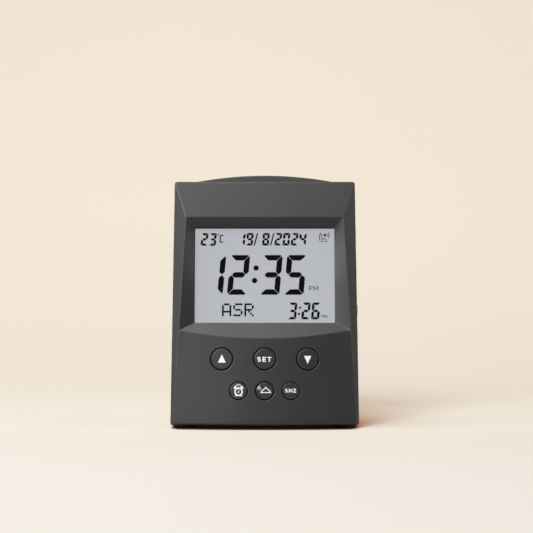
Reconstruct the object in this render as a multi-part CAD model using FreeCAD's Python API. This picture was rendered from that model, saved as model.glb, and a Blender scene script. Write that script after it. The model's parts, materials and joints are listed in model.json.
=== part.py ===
import FreeCAD, Part
import math
import os

# Table clock that calls the prayer times: a leaning face with a recessed liquid crystal display,
# six round keys, an arched crown on the rear shell, and a speaker and two AA cells at the back.
# Millimetres, +Z up. The front faces -Y. The origin is on the floor, under the middle of the
# clock's outline. Three frames are used while building:
#   case frame: X across, Y backwards, Z up, with Y = 0 at the foot of the front rim;
#   face frame: x across, v up the leaning face, w out of the face, with w = 0 at the front rim;
#   rear frame: a across (towards -X), q up the rear wall, n out of the rear wall.

V = FreeCAD.Vector

# ---------------------------------------------------------------- driving sizes: the case
LEAN = 10.0                # degrees that the face leans back
BASE_WIDTH = 94.5          # width at the floor
TOP_WIDTH = 92.2           # width at the top of the face
FACE_HEIGHT = 125.1        # length of the face along its lean
BASE_DEPTH = 44.5          # front rim to rear wall at the floor
TOP_DEPTH = 20.0           # front rim to rear wall at the top
PARTING_DEPTH = 12.0       # front rim to the seam between the two shells
WALL = 2.0                 # shell wall
CASE_ROUND = 1.4           # outer edges of the front shell
REAR_ROUND = 2.4           # outer edges of the rear shell
SEAM_STEP = 0.3            # the rear shell stands this far inside the front shell's outline
CROWN_RADIUS = 191.7       # arch over the rear shell
CROWN_RISE = 3.6           # crown above the top edge of the face
CROWN_ROUND = 0.6          # front edge of the crown
LIP_WALL = 1.0             # locating lip inside the seam
LIP_GAP = 0.15
LIP_REACH = 1.5

# ---------------------------------------------------------------- driving sizes: the face
RIDGE_RISE = 6.4           # ridge in front of the rim
RIDGE_SIDE = 6.2           # end of the ridge inside the top corner of the rim
RIDGE_OVER = 4.6           # ridge above the display window
SILL_UNDER = 4.0           # lower corners of the recess below the window
LAND_SIDE = 1.1            # edge of the lower land inside the foot of the rim
LAND_BOW = 4.6             # the lower land bows out this far at its foot
LAND_FOOT = -2.0           # where the two sizes above are taken, along the face
RECESS_SIDE = 10.6         # display window inside the top corners of the rim
RECESS_HEIGHT = 48.95
RECESS_SHARE = 0.6094      # middle of the window, as a share of the face's height
RECESS_RISE = 1.4          # floor of the recess in front of the rim
RIDGE_ROUND = 0.35

# ---------------------------------------------------------------- driving sizes: the keys
LARGE_KEY_RADIUS = 5.2
SMALL_KEY_RADIUS = 4.2
LARGE_KEY_SPACING = 21.5
SMALL_KEY_SPACING = 13.1
UPPER_ROW_SHARE = 0.2636   # rows of keys, as shares of the face's height
LOWER_ROW_SHARE = 0.1357
KEY_GAP = 0.55             # round the cap, in its hole
HOLE_ROUND = 0.4           # rim of each key hole
KEY_PROUD = 0.45           # cap above the land
KEY_FLANGE = 1.1           # flange beyond the hole
KEY_FLANGE_THICKNESS = 1.0
KEY_FLOAT = 0.35           # flange to the shell, and cap skirt to the mat
KEY_TRAVEL = 0.8
KEY_WALL = 1.1
KEY_POST_RADIUS = 1.8
KEY_EDGE = 0.35            # rim of each cap

# ---------------------------------------------------------------- driving sizes: the display
WINDOW_THICKNESS = 1.2
WINDOW_OVERLAP = 1.4       # window behind the wall round the recess floor
SNUG_GAP = 0.15            # between stacked layers and round snug pieces
POLARISER_THICKNESS = 0.2
GLASS_THICKNESS = 0.9
GLASS_OVERLAP = 0.8        # glass beyond the visible opening
CONTACT_LEDGE = 2.4        # rear glass beyond the front glass, above and below
GUIDE_THICKNESS = 1.8
REFLECTOR_THICKNESS = 0.2
FRAME_WALL = 1.2

# ---------------------------------------------------------------- driving sizes: the main board
BOARD_DEPTH = 8.2          # front of the board behind the rim
BOARD_THICKNESS = 1.4
BOARD_FOOT = 10.5
BOARD_SIDE = 3.85          # edge of the board inside the side of the case
BOARD_OVER = 0.3           # head of the board above the ridge
MAT_THICKNESS = 0.8
MAT_MARGIN = 3.0
DOME_HEIGHT = 2.6
DOME_RADIUS = 3.6
DOME_TIP_RADIUS = 1.7
BOARD_BOSS_RADIUS = 2.0
BOARD_BOSS_SIDE = 6.5      # bosses inside the side of the case
LOW_BOSS_OVER = 12.5       # lowest board bosses above the foot of the board
SILL_BOSS_UNDER = 3.5      # middle ones below the sill
RIDGE_BOSS_UNDER = 3.8     # top ones below the ridge

# ---------------------------------------------------------------- driving sizes: screws
SCREW_RADIUS = 1.0
SCREW_HEAD_RADIUS = 2.0
SCREW_HEAD_HEIGHT = 1.3
SCREW_LENGTH = 5.0
SCREW_GAP = 0.05           # shank in its hole
SCREW_CLEARANCE = 0.4      # round a screw or its head where it must pass freely
CASE_SCREW_RADIUS = 1.2
CASE_SCREW_HEAD_RADIUS = 2.3
CASE_SCREW_LENGTH = 9.0
CASE_BOSS_RADIUS = 3.0
WELL_WALL = 1.3
WELL_FLOOR = 2.2
UPPER_BOSS_SIDE = 7.4      # inside the side of the case
UPPER_BOSS_UNDER = 7.7     # below the top of the face
LOWER_BOSS_SIDE = 6.8
LOWER_BOSS_UP = 14.5

# ---------------------------------------------------------------- driving sizes: the speaker
SPEAKER_RADIUS = 18.0
SPEAKER_SHARE = 0.6875     # middle of the speaker, as a share of the face's height
SPEAKER_DEPTH = 5.2
SPEAKER_FLANGE = 1.0
SPEAKER_RIM = 2.0          # flat rim of the basket
BASKET_WALL = 0.6
CONE_INSET = 2.3           # cone inside the basket's rim
CONE_SKIN = 0.4
MAGNET_RADIUS = 9.0
MAGNET_THICKNESS = 3.6
WIDE_HEAD_RADIUS = 2.8     # heads that hold the speaker by its flange
RING_WALL = 1.3
RING_GAP = 0.2
GRILLE_HOLE_RADIUS = 1.0
GRILLE_PITCH = 4.4
GRILLE_RINGS = 3

# ---------------------------------------------------------------- driving sizes: the cells
CELL_RADIUS = 7.1
CELL_LENGTH = 50.5
CELL_NUB_RADIUS = 2.6
CELL_NUB = 1.2
CELL_GAP = 0.5
CELL_PITCH = 15.2
LEAF_ROOM = 4.6
LEAF_SHARE = 0.7           # leaf's half-height as a share of the cell's radius
PAD_HEIGHT = 1.0
TAB_WIDTH = 3.0
CONTACT_THICKNESS = 0.4
BAY_FOOT = 9.0
BAY_WALL = 2.0
COVER_THICKNESS = 1.5
COVER_LEDGE = 1.0
COVER_GAP = 0.35
COVER_SEAT = 0.4
TONGUE_WIDTH = 8.0
TONGUE_SPACING = 17.0
LATCH_WIDTH = 9.0
GRIP_UNDER = 4.2           # first grip groove below the head of the cover
GRIP_WIDTH = 0.8
GRIP_PITCH = 2.0

# ---------------------------------------------------------------- driving sizes: switch, reset, feet
SWITCH_Y = 29.0            # behind the foot of the front rim
SWITCH_Z = 58.4            # above the floor, knob at its upper stop
KNOB_HEIGHT = 4.6
KNOB_WIDTH = 3.0
KNOB_PROUD = 1.5           # knob outside the rear shell
KNOB_TRAVEL = 2.0
KNOB_GAP = 0.4
SWITCH_DEPTH = 4.0
SWITCH_END = 1.6           # switch body beyond the knob's travel
SWITCH_SIDE = 1.0          # switch body beside the knob
SWITCH_BOARD_END = 3.0     # switch board beyond the switch
KNOB_SHOULDER = 0.6        # cap wider than its stem
RESET_A = -26.0            # across the back, towards the switch
RESET_UNDER = 24.0         # below the middle of the speaker
RESET_RADIUS = 1.6
RESET_TRAVEL = 0.4
REAR_BOARD_DEPTH = 7.0     # rear board behind the inner face of the rear wall
FOOT_RADIUS = 3.0
FOOT_LIFT = 1.2            # shells above the floor
FOOT_POCKET = 0.6
FOOT_GAP = 0.1
FOOT_SIDE = 10.15          # inside the foot of the rim
FOOT_INSET = 8.0
LEAD_RADIUS = 0.5
LEAD_PITCH = 2.4
LEAD_REACH = 5.0           # straight run where a wire leaves a piece
LEAD_BEND = 0.45           # share of a run that a bend takes up

# ---------------------------------------------------------------- worked out from them
SIN = math.sin(math.radians(LEAN))
COS = math.cos(math.radians(LEAN))
FACE_TOP_Z = FOOT_LIFT + FACE_HEIGHT * COS
REAR_TOP_Y = FACE_HEIGHT * SIN + TOP_DEPTH
REAR_LEAN = math.degrees(math.atan2(BASE_DEPTH - REAR_TOP_Y, FACE_HEIGHT * COS))
CROWN_TOP = FACE_TOP_Z + CROWN_RISE
LAND_WIDTH = BASE_WIDTH - 2 * LAND_SIDE
RIDGE_WIDTH = TOP_WIDTH - 2 * RIDGE_SIDE
RECESS_WIDTH = TOP_WIDTH - 2 * RECESS_SIDE
RECESS_MIDDLE = RECESS_SHARE * FACE_HEIGHT
RIDGE_UP = RECESS_MIDDLE + RECESS_HEIGHT / 2 + RIDGE_OVER
SILL_UP = RECESS_MIDDLE - RECESS_HEIGHT / 2 - SILL_UNDER
UPPER_ROW_UP = UPPER_ROW_SHARE * FACE_HEIGHT
LOWER_ROW_UP = LOWER_ROW_SHARE * FACE_HEIGHT
BOARD_TOP = RIDGE_UP + BOARD_OVER
UPPER_BOSS_UP = FACE_HEIGHT - UPPER_BOSS_UNDER
SPEAKER_UP = SPEAKER_SHARE * FACE_HEIGHT
RESET_UP = SPEAKER_UP - RESET_UNDER
FOOT_X = BASE_WIDTH / 2 - FOOT_SIDE
FAR = 3 * FACE_HEIGHT      # reach of cutting blocks
OUT = V(0, 0, 1)

FACE_PLACE = FreeCAD.Placement(V(0, 0, FOOT_LIFT), FreeCAD.Rotation(V(1, 0, 0), 90 - LEAN))
REAR_TURN = (FreeCAD.Rotation(V(1, 0, 0), REAR_LEAN)
             * FreeCAD.Rotation(V(0, 0, 1), 180)
             * FreeCAD.Rotation(V(1, 0, 0), 90))
REAR_PLACE = FreeCAD.Placement(V(0, BASE_DEPTH, FOOT_LIFT), REAR_TURN)


# ---------------------------------------------------------------- small helpers
def placed(shape, placement):
    """Copy of a shape built in a local frame, moved into the case frame."""
    moved = shape.copy()
    moved.Placement = placement.multiply(moved.Placement)
    return moved


def on_face(shape):
    return placed(shape, FACE_PLACE)


def on_rear(shape):
    return placed(shape, REAR_PLACE)


def block(x0, x1, y0, y1, z0, z1):
    return Part.makeBox(x1 - x0, y1 - y0, z1 - z0, V(x0, y0, z0))


def centred(width, y0, y1, z0, z1):
    return block(-width / 2, width / 2, y0, y1, z0, z1)


def rod(radius, start, end):
    return Part.makeCylinder(radius, (end - start).Length, start, end - start)


def pin(radius, x, y, z0, z1):
    return rod(radius, V(x, y, z0), V(x, y, z1))


def frustum_pin(low_radius, high_radius, x, y, z0, z1):
    return Part.makeCone(low_radius, high_radius, z1 - z0, V(x, y, z0), OUT)


def plate(width, y0, y1, z0, z1, corner):
    """Flat plate with rounded corners, centred on x = 0."""
    flat = centred(width, y0, y1, z0, z1)
    upright = [e for e in flat.Edges if e.BoundBox.ZLength > (z1 - z0) / 2]
    return flat.makeFillet(corner, upright)


def loop(*points):
    return Part.makePolygon(list(points) + [points[0]])


def mirrored(point):
    return V(-point.x, point.y, point.z)


def half_space(a, b, c, outward):
    """Large block on the outward side of the plane through three points."""
    normal = (b - a).cross(c - a)
    normal.normalize()
    if normal.dot(outward) < 0:
        normal = normal * -1
    beyond = Part.makeBox(2 * FAR, 2 * FAR, FAR, V(-FAR, -FAR, 0))
    beyond.Placement = FreeCAD.Placement(a, FreeCAD.Rotation(OUT, normal))
    return beyond


def middle_of(edge):
    return edge.valueAt((edge.FirstParameter + edge.LastParameter) / 2)


def pan_screw(x, y, seat, length, radius, head_radius, towards):
    """Pan-head screw whose head sits at z = seat and whose shank runs towards +z or -z."""
    shank = rod(radius, V(x, y, seat), V(x, y, seat + towards * length))
    head = rod(head_radius, V(x, y, seat), V(x, y, seat - towards * SCREW_HEAD_HEIGHT))
    rim = [e for e in head.Edges if abs(middle_of(e).z - seat) > SCREW_HEAD_HEIGHT / 2
           and e.BoundBox.ZLength < SCREW_HEAD_HEIGHT / 2]
    return shank.fuse(head.makeFillet(SCREW_HEAD_HEIGHT / 3, rim))


def lead(points, radius):
    """Insulated wire: straight runs joined by tangent arcs."""
    edges = []
    start = points[0]
    for here, corner, after in zip(points, points[1:], points[2:]):
        back = here - corner
        ahead = after - corner
        run = LEAD_BEND * min(back.Length, ahead.Length)
        back.normalize()
        ahead.normalize()
        bend_in = corner + back * run
        bend_out = corner + ahead * run
        half_angle = math.acos(max(-1, min(1, back.dot(ahead)))) / 2
        bisector = back + ahead
        bisector.normalize()
        bend_radius = run * math.tan(half_angle)
        centre = corner + bisector * (run / math.cos(half_angle))
        top = centre - bisector * bend_radius
        edges.append(Part.makeLine(start, bend_in))
        edges.append(Part.Arc(bend_in, top, bend_out).toShape())
        start = bend_out
    edges.append(Part.makeLine(start, points[-1]))
    section = Part.Wire([Part.makeCircle(radius, points[0], points[1] - points[0])])
    return Part.Wire(edges).makePipeShell([section], True, False)


# ---------------------------------------------------------------- the leaning case form
def side_x(v):
    """Half-width of the face at height v."""
    return BASE_WIDTH / 2 - (BASE_WIDTH - TOP_WIDTH) / 2 * v / FACE_HEIGHT


def floor_v(w, inset=0.0):
    """Height, along the face, of the level underside at depth w."""
    return (inset - w * SIN) / COS


def slab(inset, back, front, top):
    """Block between two depths, with tapering sides and a level underside."""
    def corners(w):
        foot = floor_v(w, inset)
        return [V(inset - side_x(foot), foot, w), V(side_x(foot) - inset, foot, w),
                V(side_x(top) - inset, top, w), V(inset - side_x(top), top, w)]
    return Part.makeLoft([loop(*corners(back)), loop(*corners(front))], True, True)


RIM_FOOT = V(BASE_WIDTH / 2, 0, 0)
RIM_TOP = V(TOP_WIDTH / 2, FACE_HEIGHT, 0)
RIDGE_END = V(RIDGE_WIDTH / 2, RIDGE_UP, RIDGE_RISE)
STRIP_NORMAL = (RIM_TOP - RIM_FOOT).cross(RIDGE_END - RIM_FOOT)


def strip_rise(x, v):
    """Rise of the bevelled side strip over the rim, at a point of the face."""
    across = STRIP_NORMAL.x * (x - RIM_FOOT.x) + STRIP_NORMAL.y * (v - RIM_FOOT.y)
    return -across / STRIP_NORMAL.z


LAND_EDGE_RISE = strip_rise(LAND_WIDTH / 2, LAND_FOOT)
LAND_BOW_RADIUS = ((LAND_WIDTH / 2) ** 2 + LAND_BOW ** 2) / (2 * LAND_BOW)


def foot_rise(x):
    """Rise of the bowed land over the rim, at its foot."""
    sagitta = LAND_BOW_RADIUS - math.sqrt(LAND_BOW_RADIUS ** 2 - x * x)
    return LAND_EDGE_RISE + LAND_BOW - sagitta


def land_rise(x, v):
    """Rise of the land: straight at the ridge, bowed at the foot, straight lines between."""
    down = (RIDGE_UP - v) / (RIDGE_UP - LAND_FOOT)
    half = RIDGE_WIDTH / 2 + (LAND_WIDTH - RIDGE_WIDTH) / 2 * down
    return RIDGE_RISE + (foot_rise(x * LAND_WIDTH / 2 / half) - RIDGE_RISE) * down


def above_land(inset):
    """Everything in front of the land, out past the sides of the case."""
    reach = 1.25
    head = reach * RIDGE_WIDTH / 2
    foot = reach * LAND_WIDTH / 2
    level = RIDGE_RISE - inset
    clear = RIDGE_RISE + PARTING_DEPTH
    ridge = loop(V(-head, RIDGE_UP, level), V(head, RIDGE_UP, level),
                 V(head, RIDGE_UP, clear), V(-head, RIDGE_UP, clear))
    left = V(-foot, LAND_FOOT, foot_rise(foot) - inset)
    bow = Part.Arc(left, V(0, LAND_FOOT, foot_rise(0) - inset), mirrored(left)).toShape()
    rest = Part.makePolygon([mirrored(left), V(foot, LAND_FOOT, clear), V(-foot, LAND_FOOT, clear), left])
    return Part.makeLoft([ridge, Part.Wire([bow] + rest.Edges)], True, True)


def face_form(inset, back):
    """Front of the case: rim, bevelled strips, upper panel and bowed land."""
    lower = V(0, 0, -inset)
    foot = RIM_FOOT + lower
    top = RIM_TOP + lower
    ridge = RIDGE_END + lower
    form = slab(inset, back, RIDGE_RISE + WALL, FACE_HEIGHT - inset)
    return form.cut([above_land(inset),
                     half_space(foot, top, ridge, OUT),
                     half_space(mirrored(foot), mirrored(top), mirrored(ridge), OUT),
                     half_space(top, mirrored(top), ridge, OUT)]).Solids[0]


def recess(grow):
    """Funnel from the ridges of the face down to the display window."""
    half = RECESS_WIDTH / 2 + grow
    foot = RECESS_MIDDLE - RECESS_HEIGHT / 2 - grow
    head = RECESS_MIDDLE + RECESS_HEIGHT / 2 + grow
    floor = RECESS_RISE - grow
    down = (RIDGE_UP - SILL_UP) / (RIDGE_UP - LAND_FOOT)
    sill_x = RIDGE_WIDTH / 2 + (LAND_WIDTH - RIDGE_WIDTH) / 2 * down
    window_head = V(half, head, floor)
    window_foot = V(half, foot, floor)
    ridge = V(RIDGE_WIDTH / 2 + grow, RIDGE_UP + grow, RIDGE_RISE)
    sill = V(sill_x + grow, SILL_UP - grow, strip_rise(sill_x, SILL_UP))
    reach = 3.0
    mouth_head = window_head + (ridge - window_head) * reach
    mouth_foot = window_foot + (sill - window_foot) * reach
    sides = [Part.makeRuledSurface(Part.makeLine(a, b), Part.makeLine(c, d))
             for a, b, c, d in ((window_head, window_foot, mouth_head, mouth_foot),
                                tuple(map(mirrored, (window_head, window_foot, mouth_head, mouth_foot))))]
    flats = [Part.Face(loop(a, mirrored(a), mirrored(b), b))
             for a, b in ((window_head, window_foot), (window_head, mouth_head),
                          (window_foot, mouth_foot), (mouth_head, mouth_foot))]
    skin = Part.Shell(sides + flats)
    skin.sewShape()
    funnel = Part.Solid(skin)
    if funnel.Volume < 0:
        funnel.reverse()
    return funnel


# ---------------------------------------------------------------- front shell
KEY_PLACES = {
    "key_up": (-LARGE_KEY_SPACING, UPPER_ROW_UP, LARGE_KEY_RADIUS),
    "key_set": (0.0, UPPER_ROW_UP, LARGE_KEY_RADIUS),
    "key_down": (LARGE_KEY_SPACING, UPPER_ROW_UP, LARGE_KEY_RADIUS),
    "key_alarm": (-SMALL_KEY_SPACING, LOWER_ROW_UP, SMALL_KEY_RADIUS),
    "key_adhan": (0.0, LOWER_ROW_UP, SMALL_KEY_RADIUS),
    "key_snooze": (SMALL_KEY_SPACING, LOWER_ROW_UP, SMALL_KEY_RADIUS),
}
UPPER_BOSS_X = side_x(UPPER_BOSS_UP) - UPPER_BOSS_SIDE
LOWER_BOSS_X = side_x(LOWER_BOSS_UP) - LOWER_BOSS_SIDE
CASE_BOSSES = [(side * x, up) for x, up in ((UPPER_BOSS_X, UPPER_BOSS_UP), (LOWER_BOSS_X, LOWER_BOSS_UP))
               for side in (-1, 1)]
BOARD_BOSS_ROWS = (BOARD_FOOT + LOW_BOSS_OVER, SILL_UP - SILL_BOSS_UNDER, RIDGE_UP - RIDGE_BOSS_UNDER)
BOARD_BOSSES = [(side * (side_x(up) - BOARD_BOSS_SIDE), up) for up in BOARD_BOSS_ROWS for side in (-1, 1)]


def outer_face():
    """Outside of the front shell: rounded edges, funnel, and softened ridges above and below it."""
    form = face_form(0.0, -PARTING_DEPTH)
    low = LAND_EDGE_RISE + LAND_BOW

    def is_outer(edge):
        box = edge.BoundBox
        on_top = box.YMin > FACE_HEIGHT - CASE_ROUND and box.ZMax < CASE_ROUND
        on_rim = box.YLength > FACE_HEIGHT / 2 and abs(box.ZMax) < CASE_ROUND and box.ZMin > -CASE_ROUND
        at_foot = box.YMax < floor_v(-PARTING_DEPTH) + CASE_ROUND and box.ZMax < low + CASE_ROUND
        at_seam = box.ZMax < CASE_ROUND - PARTING_DEPTH
        return (on_top or on_rim or at_foot) and not at_seam

    def is_ridge(edge):
        box = edge.BoundBox
        over = box.YMin > RIDGE_UP - RIDGE_ROUND and box.YMax < RIDGE_UP + RIDGE_ROUND
        under = box.YMax < SILL_UP + RIDGE_ROUND and box.YMin > SILL_UP - 2 * LAND_BOW
        return (over or under) and edge.Length > RIDGE_WIDTH / 2 and box.ZMax > RIDGE_RISE - LAND_BOW

    form = form.makeFillet(CASE_ROUND, [e for e in form.Edges if is_outer(e)]).cut(recess(0.0)).Solids[0]
    return form.makeFillet(RIDGE_ROUND, [e for e in form.Edges if is_ridge(e)])


def drilled(form):
    """Front form with its key holes, each with a rounded rim."""
    holes = [pin(radius + KEY_GAP, x, v, -2 * PARTING_DEPTH, 2 * RIDGE_RISE)
             for x, v, radius in KEY_PLACES.values()]
    form = form.cut(holes).Solids[0]

    def is_rim(edge):
        box = edge.BoundBox
        return box.ZMin > 0 and any(
            abs(box.Center.x - x) < HOLE_ROUND and abs(box.Center.y - v) < HOLE_ROUND
            and abs(box.XLength / 2 - radius - KEY_GAP) < HOLE_ROUND for x, v, radius in KEY_PLACES.values())

    return form.makeFillet(HOLE_ROUND, [e for e in form.Edges if is_rim(e)])


def boss(x, v, radius, hole, base):
    """Moulded post from its seat up to the inside of the face, bored for a screw."""
    post = pin(radius, x, v, base, RIDGE_RISE)
    post = post.common(face_form(WALL / 2, base - WALL)).cut(recess(WALL / 2))
    return post.cut(pin(hole, x, v, base - WALL, base + CASE_SCREW_LENGTH))


def make_front_shell():
    inner = face_form(WALL, -PARTING_DEPTH - WALL).cut(recess(WALL))
    shell = drilled(outer_face()).cut(inner)
    window = centred(RECESS_WIDTH, RECESS_MIDDLE - RECESS_HEIGHT / 2,
                     RECESS_MIDDLE + RECESS_HEIGHT / 2, -PARTING_DEPTH, RIDGE_RISE)
    posts = [boss(x, v, CASE_BOSS_RADIUS, CASE_SCREW_RADIUS + SCREW_GAP, -PARTING_DEPTH)
             for x, v in CASE_BOSSES]
    posts += [boss(x, v, BOARD_BOSS_RADIUS, SCREW_RADIUS + SCREW_GAP, -BOARD_DEPTH)
              for x, v in BOARD_BOSSES]
    shell = shell.fuse(posts).cut(window)
    return on_face(shell).cut(foot_pockets())


def foot_places():
    rows = (FOOT_INSET, BASE_DEPTH - FOOT_INSET)
    return {"foot_%s_%s" % (row, hand): (side * FOOT_X, y)
            for row, y in zip(("front", "rear"), rows)
            for hand, side in (("left", -1), ("right", 1))}


def foot_pockets():
    return [pin(FOOT_RADIUS + FOOT_GAP, x, y, 0, FOOT_LIFT + FOOT_POCKET)
            for x, y in foot_places().values()]


def make_foot(x, y):
    disc = pin(FOOT_RADIUS, x, y, 0, FOOT_LIFT + FOOT_POCKET)
    sole = [e for e in disc.Edges if e.BoundBox.ZMax < FOOT_LIFT / 2]
    return disc.makeFillet(FOOT_LIFT / 3, sole)


# ---------------------------------------------------------------- keys
def dome_tip():
    return -BOARD_DEPTH + MAT_THICKNESS + DOME_HEIGHT


def make_key(x, v, radius):
    """Moulded cap that follows the land, with a flange, a hollow skirt and a post on its dome."""
    flange_radius = radius + KEY_GAP + KEY_FLANGE
    outer_x = abs(x) + flange_radius
    flange_top = land_rise(outer_x, v - flange_radius) - WALL - KEY_FLOAT
    flange_foot = flange_top - KEY_FLANGE_THICKNESS
    cap = pin(radius, x, v, flange_foot, 2 * RIDGE_RISE).common(face_form(-KEY_PROUD, -PARTING_DEPTH))
    crest = [e for e in cap.Edges if e.BoundBox.ZMin > flange_top + WALL / 2
             and e.BoundBox.XLength > radius]
    cap = cap.makeFillet(KEY_EDGE, crest)
    cap = cap.fuse(pin(flange_radius, x, v, flange_foot, flange_top))
    cap = cap.cut(pin(radius - KEY_WALL, x, v, flange_foot, flange_top + WALL / 2))
    return on_face(cap.fuse(pin(KEY_POST_RADIUS, x, v, dome_tip(), flange_top + WALL)))


def make_key_mat():
    """Silicone mat on the board: a hollow dome under each key, and in it the pill that closes the contact."""
    reach = LARGE_KEY_SPACING + LARGE_KEY_RADIUS + MAT_MARGIN
    foot = LOWER_ROW_UP - SMALL_KEY_RADIUS - MAT_MARGIN / 2
    head = UPPER_ROW_UP + LARGE_KEY_RADIUS + MAT_MARGIN / 2
    base = -BOARD_DEPTH
    mat = plate(2 * reach, foot, head, base, base + MAT_THICKNESS, MAT_MARGIN)
    for x, v, radius in KEY_PLACES.values():
        mat = mat.fuse(frustum_pin(DOME_RADIUS, DOME_TIP_RADIUS, x, v, base + MAT_THICKNESS / 2, dome_tip()))
        mat = mat.cut(frustum_pin(DOME_RADIUS - MAT_THICKNESS, DOME_TIP_RADIUS / 2, x, v, base,
                                  dome_tip() - MAT_THICKNESS))
        mat = mat.fuse(pin(DOME_TIP_RADIUS / 3, x, v, base + KEY_TRAVEL, dome_tip() - MAT_THICKNESS / 2))
    return on_face(mat)


# ---------------------------------------------------------------- display stack
HALF_OPENING = RECESS_HEIGHT / 2
WINDOW_FRONT = RECESS_RISE - WALL
FRONT_POLARISER = WINDOW_FRONT - WINDOW_THICKNESS - SNUG_GAP
FRONT_GLASS = FRONT_POLARISER - POLARISER_THICKNESS
REAR_GLASS = FRONT_GLASS - GLASS_THICKNESS
REAR_POLARISER = REAR_GLASS - GLASS_THICKNESS
GUIDE_FRONT = REAR_POLARISER - POLARISER_THICKNESS - SNUG_GAP
REFLECTOR_FRONT = GUIDE_FRONT - GUIDE_THICKNESS


def layer(overlap, front, thickness, corner):
    """Flat layer of the display stack, wider than the opening by an overlap on each side."""
    reach = HALF_OPENING + overlap
    return plate(RECESS_WIDTH + 2 * overlap, RECESS_MIDDLE - reach, RECESS_MIDDLE + reach,
                 front - thickness, front, corner)


def make_display():
    """Window, polarisers, two glasses, light guide, reflector, frame, strips and lamp."""
    ledge = GLASS_OVERLAP + CONTACT_LEDGE
    corner = POLARISER_THICKNESS
    window = layer(WINDOW_OVERLAP, WINDOW_FRONT, WINDOW_THICKNESS, WINDOW_THICKNESS)
    rear_glass = centred(RECESS_WIDTH + 2 * GLASS_OVERLAP, RECESS_MIDDLE - HALF_OPENING - ledge,
                         RECESS_MIDDLE + HALF_OPENING + ledge, REAR_GLASS - GLASS_THICKNESS, REAR_GLASS)
    frame_width = RECESS_WIDTH + 2 * (GLASS_OVERLAP + SNUG_GAP + FRAME_WALL)
    frame_reach = HALF_OPENING + ledge + SNUG_GAP + FRAME_WALL
    frame = plate(frame_width, RECESS_MIDDLE - frame_reach, RECESS_MIDDLE + frame_reach,
                  -BOARD_DEPTH, FRONT_POLARISER, FRAME_WALL)
    pocket = frame_reach - FRAME_WALL
    glass_seat = REAR_POLARISER
    frame = frame.cut(centred(frame_width - 2 * FRAME_WALL, RECESS_MIDDLE - pocket,
                              RECESS_MIDDLE + pocket, glass_seat, FRONT_POLARISER))
    guide_reach = HALF_OPENING - SNUG_GAP
    frame = frame.cut(centred(RECESS_WIDTH + 2 * SNUG_GAP, RECESS_MIDDLE - HALF_OPENING,
                              RECESS_MIDDLE + HALF_OPENING, -BOARD_DEPTH, glass_seat))
    strip_width = RECESS_WIDTH - 2 * FRAME_WALL
    strips = []
    for side in (-1, 1):
        near = RECESS_MIDDLE + side * (HALF_OPENING + GLASS_OVERLAP)
        far = RECESS_MIDDLE + side * (HALF_OPENING + ledge)
        low, high = sorted((near, far))
        frame = frame.cut(centred(strip_width + 2 * SNUG_GAP, low - SNUG_GAP / 2, high + SNUG_GAP / 2,
                                  -BOARD_DEPTH, glass_seat))
        strips.append(centred(strip_width, low, high, -BOARD_DEPTH, glass_seat))
    lamp_x = RECESS_WIDTH / 2 - FRAME_WALL
    lamp = block(lamp_x, lamp_x + FRAME_WALL, RECESS_MIDDLE - 2 * FRAME_WALL,
                 RECESS_MIDDLE + 2 * FRAME_WALL, -BOARD_DEPTH, GUIDE_FRONT - SNUG_GAP)
    guide = block(-RECESS_WIDTH / 2, lamp_x - SNUG_GAP, RECESS_MIDDLE - guide_reach,
                  RECESS_MIDDLE + guide_reach, GUIDE_FRONT - GUIDE_THICKNESS, GUIDE_FRONT)
    reflector = block(-RECESS_WIDTH / 2, lamp_x - SNUG_GAP, RECESS_MIDDLE - guide_reach,
                      RECESS_MIDDLE + guide_reach, REFLECTOR_FRONT - REFLECTOR_THICKNESS, REFLECTOR_FRONT)
    pieces = {
        "display_window": window,
        "lcd_front_polariser": layer(0.0, FRONT_POLARISER, POLARISER_THICKNESS, corner),
        "lcd_front_glass": layer(GLASS_OVERLAP, FRONT_GLASS, GLASS_THICKNESS, corner),
        "lcd_rear_glass": rear_glass,
        "lcd_rear_polariser": layer(-SNUG_GAP, REAR_POLARISER, POLARISER_THICKNESS, corner),
        "light_guide": guide,
        "reflector_sheet": reflector,
        "lcd_frame": frame,
        "zebra_strip_lower": strips[0],
        "zebra_strip_upper": strips[1],
        "backlight_lamp": lamp,
    }
    return {name: on_face(piece) for name, piece in pieces.items()}


# ---------------------------------------------------------------- main board and what it carries
BOARD_BACK = -BOARD_DEPTH - BOARD_THICKNESS


def make_board():
    """Board whose sides follow the case, with screw holes and notches round the lower case bosses."""
    low = side_x(BOARD_FOOT) - BOARD_SIDE
    high = side_x(BOARD_TOP) - BOARD_SIDE
    outline = loop(V(-low, BOARD_FOOT, BOARD_BACK), V(low, BOARD_FOOT, BOARD_BACK),
                   V(high, BOARD_TOP, BOARD_BACK), V(-high, BOARD_TOP, BOARD_BACK))
    board = Part.Face(outline).extrude(OUT * BOARD_THICKNESS)
    board = board.makeFillet(WALL, [e for e in board.Edges if e.BoundBox.ZLength > BOARD_THICKNESS / 2])
    holes = [pin(SCREW_RADIUS + SCREW_CLEARANCE, x, v, BOARD_BACK - WALL, 0) for x, v in BOARD_BOSSES]
    clear = CASE_BOSS_RADIUS + SCREW_CLEARANCE
    for side in (-1, 1):
        holes.append(pin(clear, side * LOWER_BOSS_X, LOWER_BOSS_UP, BOARD_BACK - WALL, 0))
        inner, outer = sorted((side * (LOWER_BOSS_X - clear), side * BASE_WIDTH))
        holes.append(block(inner, outer, BOARD_FOOT - WALL, LOWER_BOSS_UP, BOARD_BACK - WALL, 0))
    return on_face(board.cut(holes))


def make_board_screws():
    screws = [pan_screw(x, v, BOARD_BACK, SCREW_LENGTH, SCREW_RADIUS, SCREW_HEAD_RADIUS, 1)
              for x, v in BOARD_BOSSES]
    return on_face(Part.makeCompound(screws))


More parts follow.
